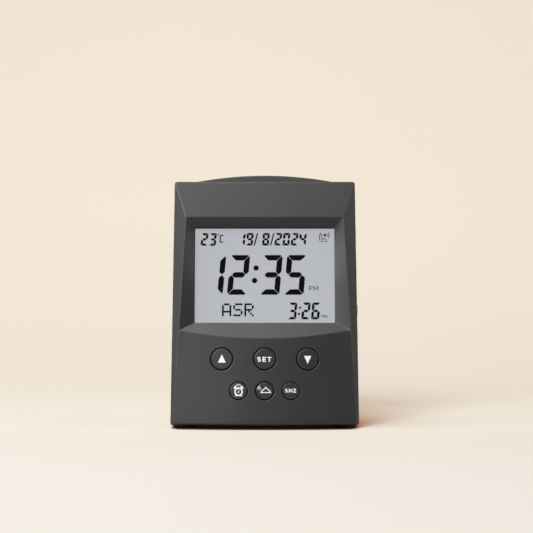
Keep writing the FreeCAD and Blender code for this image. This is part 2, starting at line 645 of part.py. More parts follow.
CHIP_RADIUS = 7.0
CHIP_HEIGHT = 1.6
CRYSTAL_RADIUS = 1.0
CRYSTAL_LENGTH = 6.0
CAPACITOR_RADIUS = 2.5
CAPACITOR_HEIGHT = 5.0
CAPACITOR_X = 18.0         # first capacitor from the middle of the board
CAPACITOR_PITCH = 6.0
SOUND_CHIP_WIDTH = 8.0
SOUND_CHIP_LENGTH = 10.0
SOUND_CHIP_HEIGHT = 1.8
LEG_COUNT = 4
LEG_REACH = 1.0
SENSOR_RADIUS = 1.2


def make_board_parts():
    """Chip under its resin drop, sound chip, crystal, two capacitors and the temperature bead."""
    drop_radius = (CHIP_RADIUS ** 2 + CHIP_HEIGHT ** 2) / (2 * CHIP_HEIGHT)
    chip_up = RECESS_MIDDLE - CHIP_RADIUS
    drop_centre = V(-2 * CHIP_RADIUS, chip_up, BOARD_BACK - CHIP_HEIGHT + drop_radius)
    drop = Part.makeSphere(drop_radius, drop_centre)
    drop = drop.common(pin(2 * CHIP_RADIUS, drop_centre.x, chip_up, BOARD_BACK - 2 * CHIP_HEIGHT, BOARD_BACK))
    left = CHIP_RADIUS
    right = left + SOUND_CHIP_WIDTH
    sound = block(left, right, RECESS_MIDDLE, RECESS_MIDDLE + SOUND_CHIP_LENGTH,
                  BOARD_BACK - SOUND_CHIP_HEIGHT, BOARD_BACK)
    leg_pitch = SOUND_CHIP_LENGTH / LEG_COUNT
    legs = [block(left - LEG_REACH, right + LEG_REACH, RECESS_MIDDLE + (step + 1 / 3) * leg_pitch,
                  RECESS_MIDDLE + (step + 2 / 3) * leg_pitch, BOARD_BACK - SOUND_CHIP_HEIGHT / 4, BOARD_BACK)
            for step in range(LEG_COUNT)]
    crystal_v = chip_up - CHIP_RADIUS - 2 * CRYSTAL_RADIUS
    crystal_w = BOARD_BACK - CRYSTAL_RADIUS
    crystal = rod(CRYSTAL_RADIUS, V(-3 * CRYSTAL_LENGTH, crystal_v, crystal_w),
                  V(-2 * CRYSTAL_LENGTH, crystal_v, crystal_w))
    capacitors = []
    for step in range(2):
        can = pin(CAPACITOR_RADIUS, CAPACITOR_X + step * CAPACITOR_PITCH, RECESS_MIDDLE - 2 * CHIP_RADIUS,
                  BOARD_BACK - CAPACITOR_HEIGHT, BOARD_BACK)
        end = [e for e in can.Edges if e.BoundBox.ZMax < BOARD_BACK - CAPACITOR_HEIGHT / 2]
        capacitors.append(can.makeFillet(CAPACITOR_RADIUS / 5, end))
    sensor_x = BOARD_SIDE + 2 * SENSOR_RADIUS - side_x(RECESS_MIDDLE)
    stalk = pin(SENSOR_RADIUS / 3, sensor_x, RECESS_MIDDLE, BOARD_BACK - 2 * SENSOR_RADIUS, BOARD_BACK)
    bead = Part.makeSphere(SENSOR_RADIUS, V(sensor_x, RECESS_MIDDLE, BOARD_BACK - 2.5 * SENSOR_RADIUS))
    pieces = {
        "clock_chip": drop,
        "sound_chip": sound.fuse(legs),
        "quartz_crystal": crystal,
        "capacitors": Part.makeCompound(capacitors),
        "temperature_sensor": stalk.fuse(bead),
    }
    return {name: on_face(piece) for name, piece in pieces.items()}


# ---------------------------------------------------------------- rear shell
def crown_cylinder(inset):
    return Part.makeCylinder(CROWN_RADIUS - inset, 2 * FAR, V(0, -FAR, CROWN_TOP - CROWN_RADIUS), V(0, 1, 0))


def behind_rear_wall(inset):
    lower = V(0, BASE_DEPTH - inset, FOOT_LIFT)
    upper = V(0, REAR_TOP_Y - inset, FACE_TOP_Z)
    return half_space(lower, upper, lower + V(BASE_WIDTH, 0, 0), V(0, 1, 0))


def rear_form(inset, front):
    """Body behind the seam: tapering sides, level underside, arched crown, nearly upright back."""
    body = on_face(slab(inset + SEAM_STEP, -FAR / 3, front, FACE_HEIGHT + 4 * CROWN_RISE))
    return body.common(crown_cylinder(inset)).cut(behind_rear_wall(inset)).Solids[0]


def outer_rear():
    """Outside of the rear shell with its rounded edges."""
    def behind_seam(edge):
        middle = middle_of(edge)
        return middle.y - ((middle.z - FOOT_LIFT) * SIN + PARTING_DEPTH) / COS

    form = rear_form(0.0, -PARTING_DEPTH)
    form = form.makeFillet(REAR_ROUND, [e for e in form.Edges if behind_seam(e) > REAR_ROUND / 2])
    crest = [e for e in form.Edges if abs(behind_seam(e)) < CROWN_ROUND / 2
             and middle_of(e).z > FACE_TOP_Z]
    return form.makeFillet(CROWN_ROUND, crest)


def seam_outline(inset, back, front):
    """Slab that follows the inside of the seam."""
    return on_face(slab(inset, back, front, FACE_HEIGHT - inset))


BAY_HALF = (CELL_LENGTH + LEAF_ROOM + PAD_HEIGHT + 2 * CONTACT_THICKNESS) / 2
BAY_HEIGHT = CELL_PITCH + 2 * CELL_RADIUS + 2 * CELL_GAP
BAY_HEAD = BAY_FOOT + BAY_HEIGHT
CELL_N = -WALL - CELL_GAP - CELL_RADIUS
BAY_FLOOR = CELL_N - CELL_RADIUS - CELL_GAP
LOWER_CELL_UP = BAY_FOOT + CELL_GAP + CELL_RADIUS
UPPER_CELL_UP = LOWER_CELL_UP + CELL_PITCH
HINGE_UP = BAY_FOOT - COVER_LEDGE + COVER_GAP
COVER_HEAD = BAY_HEAD + COVER_LEDGE - COVER_GAP
TONGUE_DEPTH = 3.3
TONGUE_REACH = 1.9
SLOT_DEPTH = 4.6
LATCH_DEPTH = 4.4
LATCH_THICKNESS = 0.7
HOOK_REACH = 0.9
TAB_LENGTH = 2.6


def make_bay():
    """Walls of the battery bay, with two cradle ribs for the cells."""
    walls = centred(2 * (BAY_HALF + BAY_WALL), BAY_FOOT - BAY_WALL, BAY_HEAD + BAY_WALL,
                    BAY_FLOOR - BAY_WALL, -WALL / 2)
    room = centred(2 * BAY_HALF, BAY_FOOT, BAY_HEAD, BAY_FLOOR, WALL)
    ribs = []
    for side in (-1, 1):
        middle = side * BAY_HALF / 2
        rib = block(middle - BAY_WALL / 2, middle + BAY_WALL / 2, BAY_FOOT, BAY_HEAD,
                    BAY_FLOOR, CELL_N)
        cells = [rod(CELL_RADIUS + CELL_GAP / 2, V(-BAY_HALF, up, CELL_N), V(BAY_HALF, up, CELL_N))
                 for up in (LOWER_CELL_UP, UPPER_CELL_UP)]
        ribs.append(rib.cut(cells))
    return walls, room, ribs


def cover_pocket(gap, front, back):
    """Cover outline grown by a gap, between two depths."""
    return plate(2 * (BAY_HALF + COVER_LEDGE - COVER_GAP + gap), HINGE_UP - gap, COVER_HEAD + gap,
                 back, front, WALL)


def tongue_slots():
    """Room behind the wall for the tongues as the cover tips, open to the cover's pocket."""
    wide = TONGUE_WIDTH / 2 + COVER_GAP
    slots = []
    for side in (-1, 1):
        low = side * TONGUE_SPACING - wide
        high = side * TONGUE_SPACING + wide
        slots.append(block(low, high, BAY_FOOT - BAY_WALL - WALL / 2, BAY_FOOT + WALL / 2,
                           -SLOT_DEPTH, -WALL))
        slots.append(block(low, high, HINGE_UP - COVER_GAP, BAY_FOOT + WALL / 2,
                           -WALL - COVER_SEAT, -COVER_THICKNESS))
    return slots


def latch_slot():
    return centred(LATCH_WIDTH + 2 * COVER_GAP, BAY_HEAD - WALL / 2, COVER_HEAD + HOOK_REACH + COVER_GAP,
                   -LATCH_DEPTH - COVER_GAP, -COVER_THICKNESS)


def finger_notch():
    """Shallow scoop over the latch, for a fingertip."""
    scoop_radius = LATCH_WIDTH
    depth = WALL / 2
    centre_n = math.sqrt(scoop_radius ** 2 - (LATCH_WIDTH / 2) ** 2)
    return Part.makeSphere(scoop_radius, V(0, COVER_HEAD, centre_n - depth / 4))


def contact_slots():
    """Slots in the bay floor for the solder tabs of the contacts."""
    half = TAB_WIDTH / 2 + SNUG_GAP
    return [block(-BAY_HALF, CONTACT_THICKNESS + SNUG_GAP - BAY_HALF, up - half, up + half,
                  BAY_FLOOR - 2 * BAY_WALL, BAY_FLOOR + WALL)
            for up in (LOWER_CELL_UP, UPPER_CELL_UP)]


def grille_holes():
    holes = [pin(GRILLE_HOLE_RADIUS, 0, SPEAKER_UP, -2 * WALL, WALL)]
    for ring in range(1, GRILLE_RINGS + 1):
        for step in range(6 * ring):
            angle = 2 * math.pi * step / (6 * ring)
            holes.append(pin(GRILLE_HOLE_RADIUS, ring * GRILLE_PITCH * math.cos(angle),
                             SPEAKER_UP + ring * GRILLE_PITCH * math.sin(angle), -2 * WALL, WALL))
    return holes


def speaker_screw_places():
    orbit = SPEAKER_RADIUS + SCREW_RADIUS + RING_WALL
    return [(orbit * math.sin(2 * math.pi * step / 3), SPEAKER_UP + orbit * math.cos(2 * math.pi * step / 3))
            for step in range(3)]


def speaker_seat():
    """Ring that locates the speaker, and three bosses for its screws."""
    inner = SPEAKER_RADIUS + RING_GAP
    low = -WALL - SPEAKER_FLANGE
    ring = pin(inner + RING_WALL, 0, SPEAKER_UP, low, -WALL / 2)
    posts = [pin(2 * SCREW_RADIUS, x, q, low, -WALL / 2) for x, q in speaker_screw_places()]
    hollow = pin(inner, 0, SPEAKER_UP, low - WALL, -WALL)
    bores = [pin(SCREW_RADIUS + SCREW_GAP, x, q, low - WALL, -WALL) for x, q in speaker_screw_places()]
    return [ring] + posts, [hollow] + bores


REAR_BOARD_N = -WALL - REAR_BOARD_DEPTH
REAR_BOARD_HALF = 9.0
REAR_POST_A = 6.5


def rear_posts():
    return [pin(2 * SCREW_RADIUS, RESET_A + side * REAR_POST_A, RESET_UP, REAR_BOARD_N, -WALL / 2)
            for side in (-1, 1)]


def rear_post_bores():
    return [pin(SCREW_RADIUS + SCREW_GAP, RESET_A + side * REAR_POST_A, RESET_UP,
                REAR_BOARD_N - WALL, -WALL - WALL / 2)
            for side in (-1, 1)]


def side_outer_x():
    """Outside of the rear shell beside the slide switch."""
    depth = SWITCH_Y
    up = (SWITCH_Z - FOOT_LIFT) * COS + depth * SIN
    return side_x(up) - SEAM_STEP


SWITCH_OUTER = side_outer_x()
SWITCH_FACE = SWITCH_OUTER - WALL - 2 * KNOB_GAP
SWITCH_BOARD_X = SWITCH_FACE - SWITCH_DEPTH
SWITCH_MIDDLE_Z = SWITCH_Z - KNOB_TRAVEL / 2
SWITCH_HALF_HEIGHT = (KNOB_HEIGHT + KNOB_TRAVEL) / 2 + SWITCH_END
SWITCH_HALF_WIDTH = KNOB_WIDTH / 2 + SWITCH_SIDE
SWITCH_BOARD_HALF = SWITCH_HALF_HEIGHT + SWITCH_BOARD_END


def knob_slot():
    tall = (KNOB_HEIGHT + KNOB_TRAVEL) / 2 + KNOB_GAP
    wide = KNOB_WIDTH / 2 + KNOB_GAP
    return block(SWITCH_FACE, SWITCH_OUTER + 2 * WALL, SWITCH_Y - wide, SWITCH_Y + wide,
                 SWITCH_MIDDLE_Z - tall, SWITCH_MIDDLE_Z + tall)


def switch_ribs():
    """Two grooved ribs that hold the switch board's ends."""
    ribs = []
    for side in (-1, 1):
        end = SWITCH_MIDDLE_Z + side * SWITCH_BOARD_HALF
        rib = block(SWITCH_BOARD_X - BOARD_THICKNESS - WALL, SWITCH_OUTER - WALL / 2,
                    SWITCH_Y - SWITCH_HALF_WIDTH, SWITCH_Y + SWITCH_HALF_WIDTH,
                    end - WALL / 2, end + WALL / 2)
        ribs.append(rib)
    groove = block(SWITCH_BOARD_X - BOARD_THICKNESS - SNUG_GAP, SWITCH_BOARD_X + SNUG_GAP,
                   SWITCH_Y - 2 * SWITCH_HALF_WIDTH, SWITCH_Y + 2 * SWITCH_HALF_WIDTH,
                   SWITCH_MIDDLE_Z - SWITCH_BOARD_HALF - SNUG_GAP,
                   SWITCH_MIDDLE_Z + SWITCH_BOARD_HALF + SNUG_GAP)
    return [rib.cut(groove) for rib in ribs]


def make_rear_shell():
    lip = LIP_GAP + WALL
    outer = outer_rear().fuse(seam_outline(lip, -PARTING_DEPTH - WALL / 2, LIP_REACH - PARTING_DEPTH))
    hollow = rear_form(WALL, -PARTING_DEPTH - WALL)
    mouth = seam_outline(lip + LIP_WALL, -PARTING_DEPTH - 2 * WALL, WALL)
    shell = outer.cut([hollow, mouth])
    near = -PARTING_DEPTH
    far = -FAR / 4
    bore = CASE_SCREW_HEAD_RADIUS + SCREW_CLEARANCE
    inside = rear_form(WALL / 2, -PARTING_DEPTH)
    wells = [on_face(pin(bore + WELL_WALL, x, v, far, near)).common(inside) for x, v in CASE_BOSSES]
    well_bores = [on_face(pin(bore, x, v, far, near - WELL_FLOOR)) for x, v in CASE_BOSSES]
    well_bores += [on_face(pin(CASE_SCREW_RADIUS + SCREW_CLEARANCE, x, v, far, near + WALL))
                   for x, v in CASE_BOSSES]
    walls, room, ribs = make_bay()
    seats, seat_bores = speaker_seat()
    added = [on_rear(s) for s in [walls] + seats + rear_posts()]
    shell = shell.fuse(added + wells + switch_ribs())
    cuts = [room, cover_pocket(COVER_GAP, WALL, -COVER_THICKNESS - COVER_SEAT)]
    cuts += [latch_slot(), finger_notch()]
    cuts += tongue_slots() + contact_slots() + grille_holes() + seat_bores + rear_post_bores()
    cuts.append(pin(RESET_RADIUS + COVER_GAP, RESET_A, RESET_UP, -2 * WALL, WALL))
    shell = shell.cut([on_rear(c) for c in cuts] + well_bores + [knob_slot()] + foot_pockets())
    return shell.fuse([on_rear(r) for r in ribs])


# ---------------------------------------------------------------- battery cover and cells
def make_battery_cover():
    """Flush cover that tips out about its lower edge, with two tongues behind the wall."""
    cover = cover_pocket(0.0, 0.0, -COVER_THICKNESS)
    for side in (-1, 1):
        middle = side * TONGUE_SPACING
        low = middle - TONGUE_WIDTH / 2
        high = middle + TONGUE_WIDTH / 2
        neck = block(low, high, HINGE_UP, HINGE_UP + TONGUE_REACH / 2, -TONGUE_DEPTH, -COVER_THICKNESS / 2)
        foot = block(low, high, HINGE_UP - TONGUE_REACH, HINGE_UP + TONGUE_REACH / 2,
                     -TONGUE_DEPTH, -WALL - COVER_GAP)
        cover = cover.fuse([neck, foot])
    grips = []
    for step in range(3):
        top = COVER_HEAD - GRIP_UNDER - step * GRIP_PITCH
        grips.append(centred(2 * LATCH_WIDTH, top - GRIP_WIDTH, top, -COVER_THICKNESS / 4, WALL))
    press = centred(LATCH_WIDTH + 2 * COVER_GAP, COVER_HEAD - LATCH_THICKNESS - 2 * COVER_GAP,
                    COVER_HEAD + WALL, -2 * WALL, WALL)
    return on_rear(cover.cut(grips + [press]))


def make_cover_latch():
    """Sprung U-shaped latch moulded on the cover, with its hook behind the rear wall."""
    leg_head = COVER_HEAD - LATCH_THICKNESS - 2 * COVER_GAP
    leg = centred(LATCH_WIDTH, leg_head - LATCH_THICKNESS, leg_head, -LATCH_DEPTH, -COVER_THICKNESS)
    bend = centred(LATCH_WIDTH, leg_head - LATCH_THICKNESS, COVER_HEAD, -LATCH_DEPTH,
                   -LATCH_DEPTH + LATCH_THICKNESS)
    front_leg = centred(LATCH_WIDTH, COVER_HEAD - LATCH_THICKNESS, COVER_HEAD, -LATCH_DEPTH,
                        -COVER_THICKNESS / 4)
    hook_top = -WALL - COVER_GAP
    hook = centred(LATCH_WIDTH, COVER_HEAD - LATCH_THICKNESS / 2, COVER_HEAD + HOOK_REACH,
                   hook_top - LATCH_THICKNESS, hook_top)
    return on_rear(leg.fuse([bend, front_leg, hook]))


PAD_FACE = BAY_HALF - CONTACT_THICKNESS - PAD_HEIGHT


def make_cell(up, towards):
    """AA cell: rounded can and its nub, pointing towards +a or -a."""
    nub_end = towards * PAD_FACE
    can_end = nub_end - towards * CELL_NUB
    tail = nub_end - towards * CELL_LENGTH
    can = rod(CELL_RADIUS, V(tail, up, CELL_N), V(can_end, up, CELL_N))
    rims = [e for e in can.Edges if e.BoundBox.XLength < CELL_RADIUS]
    can = can.makeFillet(CELL_RADIUS / 9, rims)
    nub = rod(CELL_NUB_RADIUS, V(can_end - towards * CELL_NUB, up, CELL_N), V(nub_end, up, CELL_N))
    return on_rear(can.fuse(nub))


CONTACT_HALF = 5.0


def contact_plate(side, low, high):
    inner = side * (BAY_HALF - CONTACT_THICKNESS)
    start, end = sorted((inner, side * BAY_HALF))
    return block(start, end, low, high, CELL_N - CONTACT_HALF, CELL_N + CONTACT_HALF)


def contact_pad(side, up):
    """Raised pad that meets a cell's nub."""
    base = side * (BAY_HALF - CONTACT_THICKNESS)
    return rod(CELL_NUB_RADIUS, V(base, up, CELL_N), V(base - side * PAD_HEIGHT, up, CELL_N))


def contact_leaf(side, up):
    """Bowed leaf spring that presses on a cell's flat end."""
    base = side * (BAY_HALF - CONTACT_THICKNESS)
    tip = side * (CELL_LENGTH - PAD_FACE)
    half = CELL_RADIUS * LEAF_SHARE
    faces = []
    for shrink in (0.0, CONTACT_THICKNESS):
        crest = tip + side * shrink
        low = V(base, up - half + shrink, CELL_N)
        high = V(base, up + half - shrink, CELL_N)
        arc = Part.Arc(low, V(crest, up, CELL_N), high)
        chord = Part.makeLine(high, low)
        faces.append(Part.Face(Part.Wire([arc.toShape(), chord])))
    width = CONTACT_HALF
    bow = faces[0].cut(faces[1]).extrude(V(0, 0, width))
    bow.translate(V(0, 0, -width / 2))
    return bow


def contact_tab(side, up):
    """Solder tab that passes through the bay floor."""
    inner = side * (BAY_HALF - CONTACT_THICKNESS)
    start, end = sorted((inner, side * BAY_HALF))
    return block(start, end, up - TAB_WIDTH / 2, up + TAB_WIDTH / 2,
                 BAY_FLOOR - BAY_WALL - TAB_LENGTH, CELL_N)


def make_contacts():
    low = LOWER_CELL_UP - CONTACT_HALF
    high = UPPER_CELL_UP + CONTACT_HALF
    bridge = contact_plate(1, low, high).fuse([contact_pad(1, UPPER_CELL_UP), contact_leaf(1, LOWER_CELL_UP)])
    positive = contact_plate(-1, low, LOWER_CELL_UP + CONTACT_HALF)
    positive = positive.fuse([contact_pad(-1, LOWER_CELL_UP), contact_tab(-1, LOWER_CELL_UP)])
    negative = contact_plate(-1, UPPER_CELL_UP - CONTACT_HALF, high)
    negative = negative.fuse([contact_leaf(-1, UPPER_CELL_UP), contact_tab(-1, UPPER_CELL_UP)])
    pieces = {"bridge_contact": bridge, "positive_contact": positive, "negative_contact": negative}
    return {name: on_rear(piece) for name, piece in pieces.items()}


# ---------------------------------------------------------------- speaker
def turned(points, up):
    """Solid of revolution about the speaker's axis from (radius, n) points."""
    profile = loop(*[V(r, 0, n) for r, n in points])
    solid = Part.Face(profile).revolve(V(0, 0, 0), OUT, 360)
    solid.translate(V(0, up, 0))
    return solid


def make_speaker():
    seat = -WALL
    flange_in = SPEAKER_RADIUS - SPEAKER_RIM
    back = seat - SPEAKER_DEPTH
    basket = turned([(SPEAKER_RADIUS, seat), (SPEAKER_RADIUS, seat - SPEAKER_FLANGE),
                     (flange_in, seat - SPEAKER_FLANGE), (MAGNET_RADIUS + SPEAKER_FLANGE, back),
                     (0, back), (0, back + SPEAKER_FLANGE), (MAGNET_RADIUS, back + SPEAKER_FLANGE),
                     (flange_in - BASKET_WALL, seat)], SPEAKER_UP)
    magnet = pin(MAGNET_RADIUS, 0, SPEAKER_UP, back - MAGNET_THICKNESS, back)
    rim = [e for e in magnet.Edges if e.BoundBox.ZMax < back - MAGNET_THICKNESS / 2]
    magnet = magnet.makeFillet(SPEAKER_FLANGE / 2, rim)
    cone_out = flange_in - CONE_INSET
    coil = MAGNET_RADIUS / 2
    low = back + SPEAKER_FLANGE + CONE_SKIN
    cone = turned([(cone_out, seat - CONE_SKIN), (cone_out, seat - 2 * CONE_SKIN), (coil, low),
                   (0, low + coil / 3), (0, low + coil / 3 + CONE_SKIN), (coil, low + CONE_SKIN)], SPEAKER_UP)
    screws = [pan_screw(x, q, -WALL - SPEAKER_FLANGE, SPEAKER_FLANGE, SCREW_RADIUS, WIDE_HEAD_RADIUS, 1)
              for x, q in speaker_screw_places()]
    pieces = {"speaker_basket": basket, "speaker_magnet": magnet, "speaker_cone": cone,
              "speaker_screws": Part.makeCompound(screws)}
    return {name: on_rear(piece) for name, piece in pieces.items()}


# ---------------------------------------------------------------- slide switch and reset key
def make_switch():
    stem = KNOB_WIDTH / 2 - KNOB_SHOULDER
    body = block(SWITCH_BOARD_X, SWITCH_FACE, SWITCH_Y - SWITCH_HALF_WIDTH, SWITCH_Y + SWITCH_HALF_WIDTH,
                 SWITCH_MIDDLE_Z - SWITCH_HALF_HEIGHT, SWITCH_MIDDLE_Z + SWITCH_HALF_HEIGHT)
    travel_half = (KNOB_HEIGHT / 2 + KNOB_TRAVEL) / 2 + KNOB_GAP
    body = body.cut(block(SWITCH_FACE - SWITCH_DEPTH / 2, SWITCH_FACE, SWITCH_Y - stem - COVER_GAP,
                          SWITCH_Y + stem + COVER_GAP, SWITCH_MIDDLE_Z - travel_half,
                          SWITCH_MIDDLE_Z + travel_half))
    root = block(SWITCH_FACE - SWITCH_DEPTH / 2 + COVER_GAP, SWITCH_FACE + WALL, SWITCH_Y - stem,
                 SWITCH_Y + stem, SWITCH_Z - KNOB_HEIGHT / 4, SWITCH_Z + KNOB_HEIGHT / 4)
    tip = SWITCH_OUTER + KNOB_PROUD
    cap = block(SWITCH_FACE + COVER_GAP, tip, SWITCH_Y - KNOB_WIDTH / 2, SWITCH_Y + KNOB_WIDTH / 2,
                SWITCH_Z - KNOB_HEIGHT / 2, SWITCH_Z + KNOB_HEIGHT / 2)
    cap = cap.makeFillet(KEY_EDGE, [e for e in cap.Edges if e.BoundBox.XMin > tip - KEY_EDGE])
    pitch = KNOB_HEIGHT / 4
    grooves = [block(tip - KEY_EDGE, tip + WALL, SWITCH_Y - KNOB_WIDTH, SWITCH_Y + KNOB_WIDTH,
                     SWITCH_Z + step * pitch - pitch / 5, SWITCH_Z + step * pitch + pitch / 5)
               for step in (-1, 0, 1)]
    board = block(SWITCH_BOARD_X - BOARD_THICKNESS, SWITCH_BOARD_X, SWITCH_Y - SWITCH_HALF_WIDTH,
                  SWITCH_Y + SWITCH_HALF_WIDTH, SWITCH_MIDDLE_Z - SWITCH_BOARD_HALF,
                  SWITCH_MIDDLE_Z + SWITCH_BOARD_HALF)
    return {"volume_switch_body": body, "volume_switch_knob": cap.cut(grooves).fuse(root),
            "switch_board": board}


TACT_HALF = 3.0
TACT_HEIGHT = 3.5
TACT_BUTTON_RADIUS = 1.7
TACT_BUTTON_HEIGHT = 0.7
REAR_BOARD_MARGIN = 1.0


def make_reset():
    button_top = REAR_BOARD_N + TACT_HEIGHT + TACT_BUTTON_HEIGHT
    stem_end = button_top + RESET_TRAVEL + SNUG_GAP
    flange_top = -WALL - COVER_GAP
    key = pin(RESET_RADIUS, RESET_A, RESET_UP, stem_end, -COVER_GAP)
    crest = [e for e in key.Edges if e.BoundBox.ZMin > -COVER_GAP - SNUG_GAP]
    key = key.makeFillet(KEY_EDGE, crest)
    key = key.fuse(pin(RESET_RADIUS + KEY_FLANGE, RESET_A, RESET_UP, flange_top - WALL / 4, flange_top))
    base = REAR_BOARD_N
    tact = block(RESET_A - TACT_HALF, RESET_A + TACT_HALF, RESET_UP - TACT_HALF, RESET_UP + TACT_HALF,
                 base, base + TACT_HEIGHT)
    tact = tact.fuse(pin(TACT_BUTTON_RADIUS, RESET_A, RESET_UP, base + TACT_HEIGHT, button_top))
    reach = TACT_HALF + REAR_BOARD_MARGIN
    board = block(RESET_A - REAR_BOARD_HALF, RESET_A + REAR_BOARD_HALF, RESET_UP - reach,
                  RESET_UP + reach, base - BOARD_THICKNESS, base)
    board = board.cut([pin(SCREW_RADIUS + SCREW_CLEARANCE, RESET_A + side * REAR_POST_A, RESET_UP,
                           base - 2 * BOARD_THICKNESS, base) for side in (-1, 1)])
    screws = [pan_screw(RESET_A + side * REAR_POST_A, RESET_UP, base - BOARD_THICKNESS, SCREW_LENGTH,
                        SCREW_RADIUS, SCREW_HEAD_RADIUS, 1) for side in (-1, 1)]
    pieces = {"reset_key": key, "reset_switch": tact, "rear_board": board,
              "rear_board_screws": Part.makeCompound(screws)}
    return {name: on_rear(piece) for name, piece in pieces.items()}


# ---------------------------------------------------------------- case screws and leads
def make_case_screws():
    seat = -PARTING_DEPTH - WELL_FLOOR
    screws = [pan_screw(x, v, seat, CASE_SCREW_LENGTH, CASE_SCREW_RADIUS, CASE_SCREW_HEAD_RADIUS, 1)
              for x, v in CASE_BOSSES]
    return on_face(Part.makeCompound(screws))


def face_point(x, v, w):
    return FACE_PLACE.multVec(V(x, v, w))


def rear_point(a, q, n):
    return REAR_PLACE.multVec(V(a, q, n))


def rear_lead(x, q, n, v):
    """Wire from a piece on the rear wall to the main board, leaving both squarely."""
    return lead([rear_point(-x, q, n), rear_point(-x, q, n - LEAD_REACH),
                 face_point(x, v, BOARD_BACK - LEAD_REACH), face_point(x, v, BOARD_BACK)], LEAD_RADIUS)


def make_leads():
    """Pairs of wires from the speaker, the cells, the slide switch and the reset key's board."""
    terminal = SPEAKER_UP - MAGNET_RADIUS - LEAD_PITCH / 2
    basket_back = -WALL - SPEAKER_DEPTH
    rear_board_back = REAR_BOARD_N - BOARD_THICKNESS
    switch_back = SWITCH_BOARD_X - BOARD_THICKNESS
    sound = []
    reset = []
    switch = []
    power = []
    for side in (-1, 1):
        beside = side * LEAD_PITCH / 2
        sound.append(rear_lead(beside, terminal, basket_back + SNUG_GAP, RECESS_MIDDLE - HALF_OPENING))
        reset.append(rear_lead(beside - RESET_A, RESET_UP - TACT_HALF, rear_board_back,
                               RESET_UP - TACT_HALF - LEAD_REACH))
        start = V(switch_back, SWITCH_Y, SWITCH_MIDDLE_Z + beside)
        corner = start - V(LEAD_REACH, 0, 0)
        landing = (corner.z - face_point(0, 0, BOARD_BACK).z) / COS
        switch.append(lead([start, corner, face_point(corner.x, landing, BOARD_BACK)], LEAD_RADIUS))
    for up in (LOWER_CELL_UP, UPPER_CELL_UP):
        start = rear_point(CONTACT_THICKNESS / 2 - BAY_HALF, up, BAY_FLOOR - BAY_WALL - TAB_LENGTH)
        end = face_point(start.x, up + LEAD_PITCH, BOARD_BACK)
        power.append(lead([start, (start + end) * 0.5 + V(LEAD_PITCH, 0, 0), end], LEAD_RADIUS))
    wires = {"speaker_leads": sound, "battery_leads": power, "switch_leads": switch, "reset_leads": reset}
    return {name: Part.makeCompound(pair) for name, pair in wires.items()}


# ---------------------------------------------------------------- all pieces
def build():
    parts = {"front_shell": make_front_shell(), "rear_shell": make_rear_shell(),
             "battery_cover": make_battery_cover(), "cover_latch": make_cover_latch()}
    for name, (x, v, radius) in KEY_PLACES.items():
        parts[name] = make_key(x, v, radius)
    parts["key_mat"] = make_key_mat()
    parts.update(make_display())
    parts["main_board"] = make_board()
    parts["board_screws"] = make_board_screws()
    parts.update(make_board_parts())
    parts["battery_upper"] = make_cell(UPPER_CELL_UP, 1)
    parts["battery_lower"] = make_cell(LOWER_CELL_UP, -1)
    parts.update(make_contacts())
    parts.update(make_speaker())
    parts.update(make_switch())
    parts.update(make_reset())
    parts["case_screws"] = make_case_screws()
    parts.update(make_leads())
    for name, (x, y) in foot_places().items():
        parts[name] = make_foot(x, y)
    return parts


def centre_y(parts):
    """Middle of the clock's outline from front to back."""
    front = parts["front_shell"].optimalBoundingBox()
    rear = parts["rear_shell"].optimalBoundingBox()
    return (front.YMin + rear.YMax) / 2


PARTS = build()
SHIFT_Y = -centre_y(PARTS)
os.makedirs("parts", exist_ok=True)
for part_name, part_shape in PARTS.items():
    part_shape.translate(V(0, SHIFT_Y, 0))
    part_shape.exportStep("parts/%s.step" % part_name)
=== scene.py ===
import json
import math

import bmesh
import bpy
from mathutils import Matrix, Vector
from mathutils.bvhtree import BVHTree


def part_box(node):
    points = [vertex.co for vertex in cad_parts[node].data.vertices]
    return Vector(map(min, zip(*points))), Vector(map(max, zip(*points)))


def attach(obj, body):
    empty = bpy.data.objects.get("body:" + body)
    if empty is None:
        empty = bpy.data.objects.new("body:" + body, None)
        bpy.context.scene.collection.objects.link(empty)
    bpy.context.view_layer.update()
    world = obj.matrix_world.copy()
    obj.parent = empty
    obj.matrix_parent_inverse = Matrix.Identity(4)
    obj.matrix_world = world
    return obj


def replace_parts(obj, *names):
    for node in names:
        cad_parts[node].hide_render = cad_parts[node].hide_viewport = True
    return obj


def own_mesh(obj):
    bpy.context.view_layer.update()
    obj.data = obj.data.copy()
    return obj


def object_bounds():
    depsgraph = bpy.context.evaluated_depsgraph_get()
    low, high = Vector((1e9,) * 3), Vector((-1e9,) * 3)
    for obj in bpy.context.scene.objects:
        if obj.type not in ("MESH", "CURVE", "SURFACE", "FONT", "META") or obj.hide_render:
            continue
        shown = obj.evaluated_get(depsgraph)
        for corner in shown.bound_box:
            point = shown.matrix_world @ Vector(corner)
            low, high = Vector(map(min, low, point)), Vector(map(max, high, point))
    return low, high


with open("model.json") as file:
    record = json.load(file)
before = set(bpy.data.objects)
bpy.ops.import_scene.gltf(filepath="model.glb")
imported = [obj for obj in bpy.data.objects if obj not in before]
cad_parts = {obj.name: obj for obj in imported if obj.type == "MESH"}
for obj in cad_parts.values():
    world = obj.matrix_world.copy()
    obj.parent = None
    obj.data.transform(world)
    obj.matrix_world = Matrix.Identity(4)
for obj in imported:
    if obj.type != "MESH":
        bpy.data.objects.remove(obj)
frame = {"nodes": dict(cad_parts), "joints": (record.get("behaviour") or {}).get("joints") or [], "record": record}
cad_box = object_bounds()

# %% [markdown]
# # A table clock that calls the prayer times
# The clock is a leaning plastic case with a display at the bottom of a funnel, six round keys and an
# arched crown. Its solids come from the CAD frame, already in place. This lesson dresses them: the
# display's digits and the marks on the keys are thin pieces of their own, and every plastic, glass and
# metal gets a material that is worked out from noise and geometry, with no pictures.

MM = 0.001
